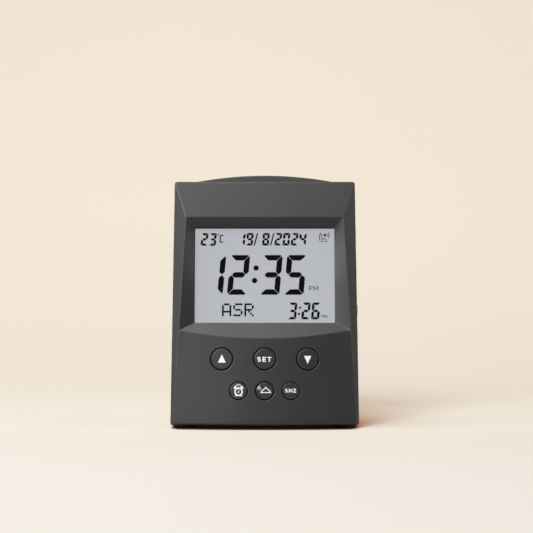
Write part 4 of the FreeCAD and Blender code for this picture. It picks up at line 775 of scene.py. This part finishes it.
for radius, width in ((1.15, 0.38), (2.1, 0.4)):
    loudspeaker += band(arc(30.7, 21.16, radius, 42, -42, 8), width)
faint += tower + dome + loudspeaker
print("signs:", len(signs), "dark and", len(faint), "thin polygons")

# %% [markdown]
# All of these lie in one plane, a hair in front of the polariser and behind the window, where the liquid
# crystal darkens on the real cell.

# %% Lay the display
FILM_HALF = 0.1 * MM
INK_LIFT = 0.05 * MM
DISPLAY = (("time_digits", time_mesh, segment_ink), ("date_digits", date_mesh, segment_ink),
           ("prayer_digits", prayer_mesh, segment_ink), ("prayer_name", asr_mesh, segment_ink),
           ("display_signs", flat_mesh("signs", signs), segment_ink),
           ("display_thin_signs", flat_mesh("thin", faint), faint_ink))
on_cell = flat_place(middle("lcd_front_polariser") + OUT * (FILM_HALF + INK_LIFT))
for label, mesh, coat in DISPLAY:
    mesh.transform(on_cell)
    as_piece(label, mesh, coat, "case")
print("display laid at", [round(c / MM, 2) for c in on_cell.translation])

# %% [markdown]
# ## The black lining round the window
# Between the funnel and the window the opening runs straight for two millimetres. A thin black lining
# covers its walls: painted shade, for the shade that falls inside the opening. From the front it shows as
# a dark hairline, which makes the display look set in.

# %% Line the opening
# Thickness and depth of the black lining, a sheet of painted shade.
LINING_THICKNESS = 0.07
LINING_DEPTH = 1.95
WINDOW_LEDGE = 1.4


def join_loops(build, upper, under):
    """Quads between two loops that have the same number of corners."""
    for k in range(len(upper)):
        after = (k + 1) % len(upper)
        build.faces.new([upper[k], under[k], under[after], upper[after]])


window_middle = middle("display_window")
on_window = [v.co - window_middle for v in frame["nodes"]["display_window"].data.vertices]
half_across = -Vector(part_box("light_guide")[0]).x / MM
half_up = max(abs(c.dot(UP)) for c in on_window) / MM - WINDOW_LEDGE
front = max(c.dot(OUT) for c in on_window) / MM
build = bmesh.new()
loops = []
for inset, depth in ((0.0, front), (0.0, front + LINING_DEPTH), (LINING_THICKNESS, front + LINING_DEPTH), (LINING_THICKNESS, front)):
    x, y = half_across - inset, half_up - inset
    loops.append([build.verts.new(Vector((*corner, depth)) * MM) for corner in rectangle(-x, -y, x, y)])
for here, after in zip(loops, loops[1:] + loops[:1]):
    join_loops(build, here, after)
shade_lining_mesh = as_mesh(build, "window_seal")
shade_lining_mesh.transform(flat_place(window_middle))
as_piece("window_seal", shade_lining_mesh, shade_lining_black, "case")
print("seal opening %.2f x %.2f mm, front %.2f" % (2 * half_across, 2 * half_up, front))

# %% [markdown]
# ## Marks printed on the keys
# Each key has a white print. The key tops follow the bowed face, so a mark is not laid on a plane: every
# point of it is dropped onto the key's own surface by a ray, and lifted by the thickness of the ink.

# %% Print on a key
INK_THICKNESS = 0.03 * MM
RAY_START = 50 * MM


def print_on(key, polygons):
    """White print on a key's top, from polygons in millimetres around the key's middle."""
    solid = frame["nodes"][key].data
    corners = [v.co.copy() for v in solid.vertices]
    surface = BVHTree.FromPolygons(corners, [tuple(p.vertices) for p in solid.polygons])
    mesh = flat_mesh(key + "_print", polygons)
    mesh.transform(flat_place(middle(key)))
    for vertex in mesh.vertices:
        hit = surface.ray_cast(vertex.co + OUT * RAY_START, -OUT)[0]
        vertex.co = hit + OUT * INK_THICKNESS
    as_piece(key + "_print", mesh, legend_ink, key)


print("prints will be", INK_THICKNESS / MM, "mm thick")

# %% [markdown]
# The icons are plain drawings too: a bell clock with one hand, and a tent-shaped dome with sound beside
# it.

# %% Marks for the six keys
DIAL_X, DIAL_Y = 0.05, -0.78
HAND = [(-0.5, -1.24), (0.3, -1.24), (0.4, 0.12), (0.1, 0.12), (-0.04, -0.8), (-0.5, -0.9)]
BELL = [(0.75, 1.66), (1.3, 2.28), (2.0, 1.95), (2.5, 1.05), (2.12, 0.5), (1.6, 0.85)]
LEG = [(0.85, -2.8), (1.5, -2.4), (1.9, -2.98), (1.15, -3.03)]
HANDLE = [(-0.95, 2.42), (-0.65, 2.72), (0.75, 2.72), (1.05, 2.42)]
TENT = [(0.2, 0.7), (-0.48, 0.34), (-1.1, -0.15), (-1.6, -0.68), (-1.9, -1.28), (2.9, -1.28),
        (2.6, -0.68), (2.1, -0.15), (1.42, 0.34), (0.8, 0.7)]
alarm_icon = ring(DIAL_X, DIAL_Y, 1.8, 0.66) + [HAND]
for side in (-1, 1):
    alarm_icon.append(rounded([(side * x + DIAL_X, y) for x, y in BELL], 0.35))
    alarm_icon.append([(side * x + DIAL_X, y) for x, y in LEG])
alarm_icon += band(HANDLE, 0.32) + [rectangle(-0.15, 1.15, 0.25, 1.68)]
call_icon = disc(0.5, 1.12, 0.42) + band(TENT, 0.44)
for radius in (1.05, 1.75, 2.45):
    call_icon += band(arc(-1.45, -0.35, radius, 112, 158, 5), 0.28)
MARKS = {
    "key_up": [[(0.03, 2.08), (-1.95, -2.02), (1.98, -2.02)]],
    "key_set": word("SET", (2.0, 1.75, 2.05), -3.8, -1.9, 2.5, 0.56, 0.66),
    "key_down": [[(-1.85, 1.34), (-0.02, -2.72), (1.8, 1.34)]],
    "key_alarm": alarm_icon,
    "key_adhan": call_icon,
    "key_snooze": word("SNZ", (1.45, 1.75, 1.45), -3.04, -1.2, 1.95, 0.4, 0.45),
}
for key, polygons in MARKS.items():
    print_on(key, polygons)
print("keys printed:", ", ".join(MARKS))

# %% [markdown]
# ## Screws with a cross recess
# Fifteen screws hold the boards, the speaker and the two shells. Their solids are plain pan heads, and a
# real head has a cross pressed into it, so each set of screws is replaced by one piece. A screw is turned
# from a profile, its cross is cut with a boolean, and a Geometry Nodes tree drives one copy into every
# place, each stopped at its own angle. The sizes and the places are measured on the solids, so nothing
# moves.

# %% Tree: driven screws
screw_tree, start, drive = stamping_tree("driven screws", ("Screw",), "Metal", Seed="Int")
stop_angle = node(screw_tree, "FunctionNodeRandomValue", data_type="FLOAT", i_2=0.0, i_3=math.pi / 2,
                  Seed=start["Seed"])
about = node(screw_tree, "ShaderNodeCombineXYZ", Z=stop_angle.outputs[1])
feed(drive, Rotation=about.outputs[0])
print("tree", screw_tree.name, "has", len(screw_tree.nodes), "nodes")

# %% [markdown]
# The screw itself: head above z = 0, shank below. The recess is a cross of two short bars that go down to
# just over half the head, with the corners between them left standing, as the driver bit leaves them.

# %% One screw
TURNS = 24
POINT_START, POINT_WIDTH = 0.85, 0.45
CROSS_LONG, CROSS_WIDE = 0.62, 0.15
CROSS_TOP, CROSS_BOTTOM, CROSS_TAPER = 1.2, 0.42, 0.7


def turned_mesh(name, profile):
    """Solid turned about z from (radius, height) points, whose first and last lie on the axis."""
    build = bmesh.new()
    tip = build.verts.new((0, 0, profile[0][1]))
    foot = build.verts.new((0, 0, profile[-1][1]))
    angles = [2 * math.pi * k / TURNS for k in range(TURNS)]
    rings = [[build.verts.new((r * math.cos(a), r * math.sin(a), z)) for a in angles]
             for r, z in profile[1:-1]]
    for k in range(TURNS):
        after = (k + 1) % TURNS
        build.faces.new([tip, rings[0][k], rings[0][after]])
        build.faces.new([foot, rings[-1][after], rings[-1][k]])
        for upper, under in zip(rings, rings[1:]):
            build.faces.new([upper[k], under[k], under[after], upper[after]])
    return as_mesh(build, name)


def prism(name, outline, top, bottom, taper=1.0):
    """Closed prism between two heights; its lower end is scaled by taper."""
    build = bmesh.new()
    upper = [build.verts.new((x, y, top)) for x, y in outline]
    under = [build.verts.new((taper * x, taper * y, bottom)) for x, y in outline]
    build.faces.new(upper)
    build.faces.new(list(reversed(under)))
    join_loops(build, upper, under)
    return as_mesh(build, name)


def cut_away(mesh, *cutters):
    """Mesh with other closed meshes cut out of it."""
    blank = helper_object("blank", mesh)
    tools = [helper_object("cutter", cutter) for cutter in cutters]
    for tool in tools:
        cut = blank.modifiers.new("cut", "BOOLEAN")
        cut.object = tool
        cut.solver = "EXACT"
    return evaluated_mesh(blank, *tools)


def screw_mesh(head, height, shank, reach):
    """Pan-head screw with its cross cut in; head and shank are radii."""
    third = height / 3
    middling, soft = 0.5 * third, 0.13 * third
    profile = [(0, height), (head - third, height), (head - middling, height - soft),
               (head - soft, height - middling), (head, height - third), (head, 0), (shank, 0),
               (shank, -POINT_START * reach), (POINT_WIDTH * shank, -reach), (0, -reach)]
    long, wide = CROSS_LONG * head, CROSS_WIDE * head
    cross = [(long, -wide), (long, wide), (wide, wide), (wide, long), (-wide, long), (-wide, wide),
             (-long, wide), (-long, -wide), (-wide, -wide), (-wide, -long), (wide, -long), (wide, -wide)]
    recess = prism("cross", cross, height * CROSS_TOP, height * CROSS_BOTTOM, CROSS_TAPER)
    return cut_away(turned_mesh("blank", profile), recess)


print("screw of", len(screw_mesh(0.003, 0.0015, 0.001, 0.008).polygons), "faces")

# %% [markdown]
# The solids of a set are told apart by walking along their edges. Each gives the axis it stands on, the
# height where its head begins, and the sizes of head and shank. They are taken in the order of their
# corner points, because a Python set has no fixed order, and each screw then gets the same angle on
# every run.

# %% Measure a set of screws and drive the new ones in
SAME_PLACE = 1e-6
HEAD_RIM = 0.9
BELOW_SEAT = 0.02 * MM


def midway(values):
    """Middle between the lowest and the highest of some values."""
    listed = sorted(values)
    return (listed[0] + listed[-1]) / 2


def shells(mesh):
    """Corner points of each separate solid in a mesh."""
    build = bmesh.new()
    build.from_mesh(mesh)
    bmesh.ops.remove_doubles(build, verts=build.verts, dist=SAME_PLACE)
    reached = set()
    found = []
    for first in build.verts:
        if first in reached:
            continue
        reached.add(first)
        solid = [first]
        for vertex in solid:
            for edge in vertex.link_edges:
                other = edge.other_vert(vertex)
                if other not in reached:
                    reached.add(other)
                    solid.append(other)
        found.append([v.co.copy() for v in solid])
    build.free()
    return found


def drive_screws(name, facing, seed):
    """Replace a node of plain screws, whose heads face one way."""
    turn = Matrix((ACROSS, facing.cross(ACROSS), facing)).transposed()
    places = []
    for points in shells(frame["nodes"][name].data):
        local = [turn.transposed() @ point for point in points]
        x, y = (midway(c[i] for c in local) for i in (0, 1))
        radii = [math.hypot(c.x - x, c.y - y) for c in local]
        head = max(radii)
        seat = min(c.z for c, r in zip(local, radii) if r > HEAD_RIM * head)
        height = max(c.z for c in local) - seat
        shank = max(r for c, r in zip(local, radii) if c.z < seat - BELOW_SEAT)
        reach = seat - min(c.z for c in local)
        places.append((x, y, seat))
    screw = helper_object("screw", screw_mesh(head, height, shank, reach))
    points = bpy.data.meshes.new("places")
    points.from_pydata(places, [], [])
    mesh = grown(screw_tree, points, Screw=screw, Metal=zinc, Seed=seed)
    mesh.transform(turn.to_4x4())
    piece = as_piece(name + "_crossed", mesh, zinc, "case")
    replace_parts(piece, name)
    print("%s: %d heads of %.1f mm" % (name, len(places), 2 * head / MM))


reset_in = next(Vector(j["axis"]) for j in frame["joints"] if j["name"] == "reset_press").normalized()
SCREW_SETS = (("case_screws", -OUT, 3), ("board_screws", -OUT, 5), ("speaker_screws", reset_in, 7),
              ("rear_board_screws", reset_in, 11))
for name, facing, seed in SCREW_SETS:
    drive_screws(name, facing, seed)

# %% [markdown]
# ## The key mat
# Under the keys lies a sheet of silicone with a hollow dome for each key, and a small pill in each dome
# that closes the contact. The solid is one stiff piece, but a real dome gives way. So the sheet keeps
# still, and each dome is a piece of its own.

# %% Measure the mat
mat = [Vector((v.co.x, v.co.dot(UP), v.co.dot(OUT))) / MM for v in frame["nodes"]["key_mat"].data.vertices]
base = min(c.z for c in mat)
rise = max(c.z for c in mat) - base
left, right = min(c.x for c in mat), max(c.x for c in mat)
foot, head = min(c.y for c in mat), max(c.y for c in mat)
NEAR_TOP = 0.01
NEAR_KEY = 5
dome_places = {}
for key in MARKS:
    at = Vector((middle(key).x, middle(key).dot(UP))) / MM
    tip = [c for c in mat if c.z > base + rise - NEAR_TOP and (c.xy - at).length < NEAR_KEY]
    dome_places[key] = [midway(c[i] for c in tip) for i in (0, 1)]
print("mat of %.1f x %.1f mm with %d domes" % (right - left, head - foot, len(dome_places)))

# %% [markdown]
# All domes are turned from one profile: a thin cone with a flat top, hollow, with the pill under its tip.
# The pill stops just as far above the board as a key travels.

# %% Domes as pieces of their own
SHEET = 0.8
DOME_FOOT, DOME_TIP, DOME_SKIN, PILL = 3.35, 1.7, 0.8, 0.57
DOME_WALL = 0.55
KEY_TRAVEL = 0.8
under_tip = rise - DOME_SKIN
dome_profile = [(0, rise), (DOME_TIP, rise), (DOME_FOOT, SHEET), (DOME_FOOT, 0), (DOME_FOOT - DOME_WALL, 0),
                (DOME_TIP / 2, under_tip), (PILL, under_tip), (PILL, KEY_TRAVEL), (0, KEY_TRAVEL)]
face_frame = flat_place(Vector())
for key, (x, y) in dome_places.items():
    foot_point = face_frame @ (Vector((x, y, base)) * MM)
    dome = turned_mesh("dome", [(r * MM, z * MM) for r, z in dome_profile])
    dome.transform(flat_place(foot_point))
    piece = as_piece("mat_dome_" + key[4:], dome, silicone, "case")
    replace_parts(piece, "key_mat")
    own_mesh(piece)
print("domes stand %.1f mm above the sheet" % (rise - SHEET))

# %% [markdown]
# The sheet has a round hole for each dome, a hair smaller than the dome's foot, so that no light comes
# between.

# %% Sheet with its holes
SHEET_CORNER = 3.0
HOLE_OVERLAP = 0.02
HOLE_REACH = 1.5
radius = DOME_FOOT - HOLE_OVERLAP
hole_profile = [(0, HOLE_REACH), (radius, HOLE_REACH), (radius, -HOLE_REACH), (0, -HOLE_REACH)]
holes = []
for x, y in dome_places.values():
    hole = turned_mesh("hole", hole_profile)
    hole.transform(Matrix.Translation((x, y, base)))
    holes.append(hole)
outline = rounded(rectangle(left, foot, right, head), SHEET_CORNER, 8)
sheet = cut_away(prism("sheet", outline, base + SHEET, base), *holes)
sheet.transform(face_frame @ Matrix.Scale(MM, 4))
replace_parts(as_piece("mat_sheet", sheet, silicone, "case"), "key_mat")
print("sheet has", len(sheet.polygons), "faces")

# %% [markdown]
# ## Floor and backdrop
# The clock stands on a pale paper sweep that bends up behind it, so there is no line where floor meets
# wall. Its shading is split in two: most of it is lit by the lamps and keeps the clock's shadow, and a
# warm part is only there for rays from the camera and for reflections, which sets the tone of the shadow.
# The Light Path node tells those rays apart, so the warm part adds no light to the clock, and it grows a
# little towards the back, where less lamp light arrives. Right under the clock the Ambient Occlusion node
# darkens both parts: painted shade in the thin gap under a case on short feet, and a painted contact
# shadow along its front edge. Far from the clock the paper fades to one plain tone.

# %% The sweep
SWEEP_HALF = 4.0
SWEEP_TOP = 4.0
BEND_START = 0.42
BEND_RADIUS = 0.9
BEND_STEPS = 18
profile = [(-SWEEP_HALF, 0.0), (BEND_START, 0.0)]
for step in range(1, BEND_STEPS + 1):
    angle = math.radians(90 * step / BEND_STEPS)
    profile.append((BEND_START + BEND_RADIUS * math.sin(angle), BEND_RADIUS - BEND_RADIUS * math.cos(angle)))
profile.append((BEND_START + BEND_RADIUS, SWEEP_TOP))
sweep_points = [(x, y, z) for y, z in profile for x in (-SWEEP_HALF, SWEEP_HALF)]
sweep_faces = [(2 * i, 2 * i + 1, 2 * i + 3, 2 * i + 2) for i in range(len(profile) - 1)]
sweep_mesh = bpy.data.meshes.new("paper_sweep")
sweep_mesh.from_pydata(sweep_points, [], sweep_faces)
for face in sweep_mesh.polygons:
    face.use_smooth = True
sweep = bpy.data.objects.new("paper_sweep", sweep_mesh)
bpy.context.collection.objects.link(sweep)
print("sweep of", len(sweep_faces), "faces")

# %% [markdown]
# The warm part goes by depth: a colour ramp starts with a deep colour in front and climbs to a paler one
# at the back, where the sweep bends up. The ramp runs from 0 to 1, so the depth in metres is first mapped
# onto that.

# %% Paper that is warm to the eye
# How far back, in metres, and the warm colour there.
PAPER_WARM = ((-0.35, (0.268, 0.034, 0.0)), (-0.08, (0.282, 0.048, 0.0)), (0.0, (0.333, 0.107, 0.03)),
              (0.2, (0.37, 0.15, 0.065)), (0.45, (0.46, 0.25, 0.163)), (0.9, (0.509, 0.29, 0.187)))
paper = finish("pale_paper", Roughness=0.9, Specular_IOR_Level=0.1)
tree = paper.node_tree
shader = tree.nodes["Principled BSDF"]
on_paper = node(tree, "ShaderNodeTexCoord").outputs["Object"]
place = node(tree, "ShaderNodeSeparateXYZ", i_0=on_paper).outputs
aside = calc(tree, "ABSOLUTE", place["X"])
nearest, farthest = PAPER_WARM[0][0], PAPER_WARM[-1][0]
ramp = node(tree, "ShaderNodeValToRGB", Fac=graded(tree, place["Y"], nearest, farthest))
while len(ramp.color_ramp.elements) < len(PAPER_WARM):
    ramp.color_ramp.elements.new(0.5)
for element, (back, colour) in zip(ramp.color_ramp.elements, PAPER_WARM):
    element.position = (back - nearest) / (farthest - nearest)
    element.color = (*colour, 1)
print("warm part has", len(ramp.color_ramp.elements), "colours")

# %% [markdown]
# Far from the clock, to the sides and in front, both parts fade: the lit one to nearly nothing and the
# warm one to the plain tone of the room.

# %% Far from the clock
PAPER_LIT = (0.43, 0.55, 0.525)
PAPER_LIT_FAR = (0.08, 0.08, 0.08)
PAPER_FAR = (0.85, 0.8, 0.71)
FAR_ASIDE = (0.36, 0.9)
FAR_FRONT = (-0.39, -0.8)
far = calc(tree, "MAXIMUM", graded(tree, aside, *FAR_ASIDE), graded(tree, place["Y"], *FAR_FRONT))
lit = node(tree, "ShaderNodeMix", data_type="RGBA", i_0=far, i_6=(*PAPER_LIT, 1), i_7=(*PAPER_LIT_FAR, 1))
glow = node(tree, "ShaderNodeMix", data_type="RGBA", i_0=far, i_6=ramp.outputs["Color"], i_7=(*PAPER_FAR, 1))
print("paper fades from %.2f m at the sides and %.2f m in front" % (FAR_ASIDE[0], -FAR_FRONT[0]))

# %% [markdown]
# The Ambient Occlusion node says how open the air over a point is. Where it is mostly closed lies the gap
# under the clock, which gets painted shade. A weaker reading counts only along the front edge of the case,
# and paints a soft contact shadow there.

# %% Painted shade under the clock
FOOTPRINT = 0.0455
GAP_REACH = 0.01
PAINTED_SHADE_DEPTH = 0.97
UNDER_STARTS, UNDER_FULL = 0.5, 0.3
LINE_STARTS, LINE_FULL = 0.97, 0.74
SIDE_SOFT, FRONT_SOFT = 0.002, 0.01
open_air = node(tree, "ShaderNodeAmbientOcclusion", samples=16, Distance=GAP_REACH).outputs["AO"]
# Painted shade: the paper darkens under the clock and in a soft band along its front.
painted_shade_beneath = graded(tree, open_air, UNDER_STARTS, UNDER_FULL, PAINTED_SHADE_DEPTH)
close_by = graded(tree, open_air, LINE_STARTS, LINE_FULL, PAINTED_SHADE_DEPTH)
across = graded(tree, aside, FOOTPRINT + SIDE_SOFT, FOOTPRINT - SIDE_SOFT)
before = graded(tree, place["Y"], FRONT_SOFT, -FRONT_SOFT)
painted_front_shadow = calc(tree, "MULTIPLY", close_by, calc(tree, "MULTIPLY", across, before))
shown = calc(tree, "SUBTRACT", 1.0, calc(tree, "MAXIMUM", painted_shade_beneath, painted_front_shadow))
lit_shown = node(tree, "ShaderNodeVectorMath", operation="SCALE", i_0=lit.outputs[2], Scale=shown)
feed(shader, Base_Color=lit_shown.outputs[0])
print("gap is %.0f mm wide" % (2 * FOOTPRINT / MM))

# %% [markdown]
# The warm part is emission whose strength is one for rays that end in the picture, straight, by
# reflection or through the window, and nothing for the rest. So it is seen and never lights the clock.

# %% Seen, but giving no light
path = node(tree, "ShaderNodeLightPath").outputs
seen = calc(tree, "MAXIMUM", path["Is Camera Ray"], path["Is Glossy Ray"])
seen_at_all = calc(tree, "MAXIMUM", seen, path["Is Transmission Ray"])
feed(shader, Emission_Strength=calc(tree, "MULTIPLY", seen_at_all, shown), Emission_Color=glow.outputs[2])
sweep_mesh.materials.append(paper)
print("paper has", len(tree.nodes), "nodes")

# %% [markdown]
# ## Light
# One large soft lamp stands high on the left in front. A smaller one above the clock lights the slopes
# that face up, and two weak ones at the sides keep the flanks apart from each other. The paper has a
# large lamp of its own, which drops one soft shadow to the right and back. Light linking keeps that lamp
# off the clock, and keeps the first and the left lamp off the paper, so that their shadows don't cross
# it. The room itself gives hardly any light, but to the camera it has the tone of the far paper.


# %% Lamps
def soft_lamp(name, place, target, size, power):
    """Square area lamp that faces a target."""
    data = bpy.data.lights.new(name, "AREA")
    data.shape = "SQUARE"
    data.size = size
    data.energy = power
    lamp = bpy.data.objects.new(name, data)
    lamp.location = place
    lamp.rotation_euler = (Vector(target) - Vector(place)).to_track_quat("-Z", "Y").to_euler()
    bpy.context.collection.objects.link(lamp)
    return lamp


def link_paper(lamp, state):
    """INCLUDE: the lamp lights nothing but the paper. EXCLUDE: everything but the paper."""
    linked = bpy.data.collections.new("%s_paper_%s" % (lamp.name, state.lower()))
    linked.objects.link(sweep)
    lamp.light_linking.receiver_collection = linked
    linked.collection_objects[0].light_linking.link_state = state


MIDDLE = (0, 0, 0.06)
# Name, place, size, power, and how it treats the paper.
LAMPS = (("key_light", (-1.1, -2.0, 1.5), 1.0, 42, "EXCLUDE"),
         ("overhead_light", (-0.21, -0.12, 0.8), 0.5, 4.5, None),
         ("left_light", (-1.1, -0.35, 0.6), 0.5, 9, "EXCLUDE"),
         ("right_light", (1.2, -0.3, 0.6), 0.7, 4, None),
         ("paper_light", (-0.7, -2.15, 1.4), 1.2, 84, "INCLUDE"))
for name, spot, size, power, paper_rule in LAMPS:
    lamp = soft_lamp(name, spot, MIDDLE, size, power)
    if paper_rule:
        link_paper(lamp, paper_rule)

# %% [markdown]
# The room is a world with two backgrounds: a faint white one that lights, and one in the tone of the far
# paper that only the camera sees.

# %% The room
ROOM_LIGHT = 0.05
world = bpy.data.worlds.new("dim_room")
world.use_nodes = True
tree = world.node_tree
faint_white = feed(tree.nodes["Background"], Color=(1, 1, 1, 1), Strength=ROOM_LIGHT)
beyond = node(tree, "ShaderNodeBackground", Color=(*PAPER_FAR, 1))
room = by_ray(tree, "Is Camera Ray", faint_white.outputs[0], beyond.outputs[0])
feed(tree.nodes["World Output"], Surface=room)
bpy.context.scene.world = world
print("room gives", ROOM_LIGHT, "of white light")

# %% [markdown]
# ## Finish
# The picture is shown with the Standard view transform.

# %% Standard view transform
bpy.context.scene.view_settings.view_transform = "Standard"
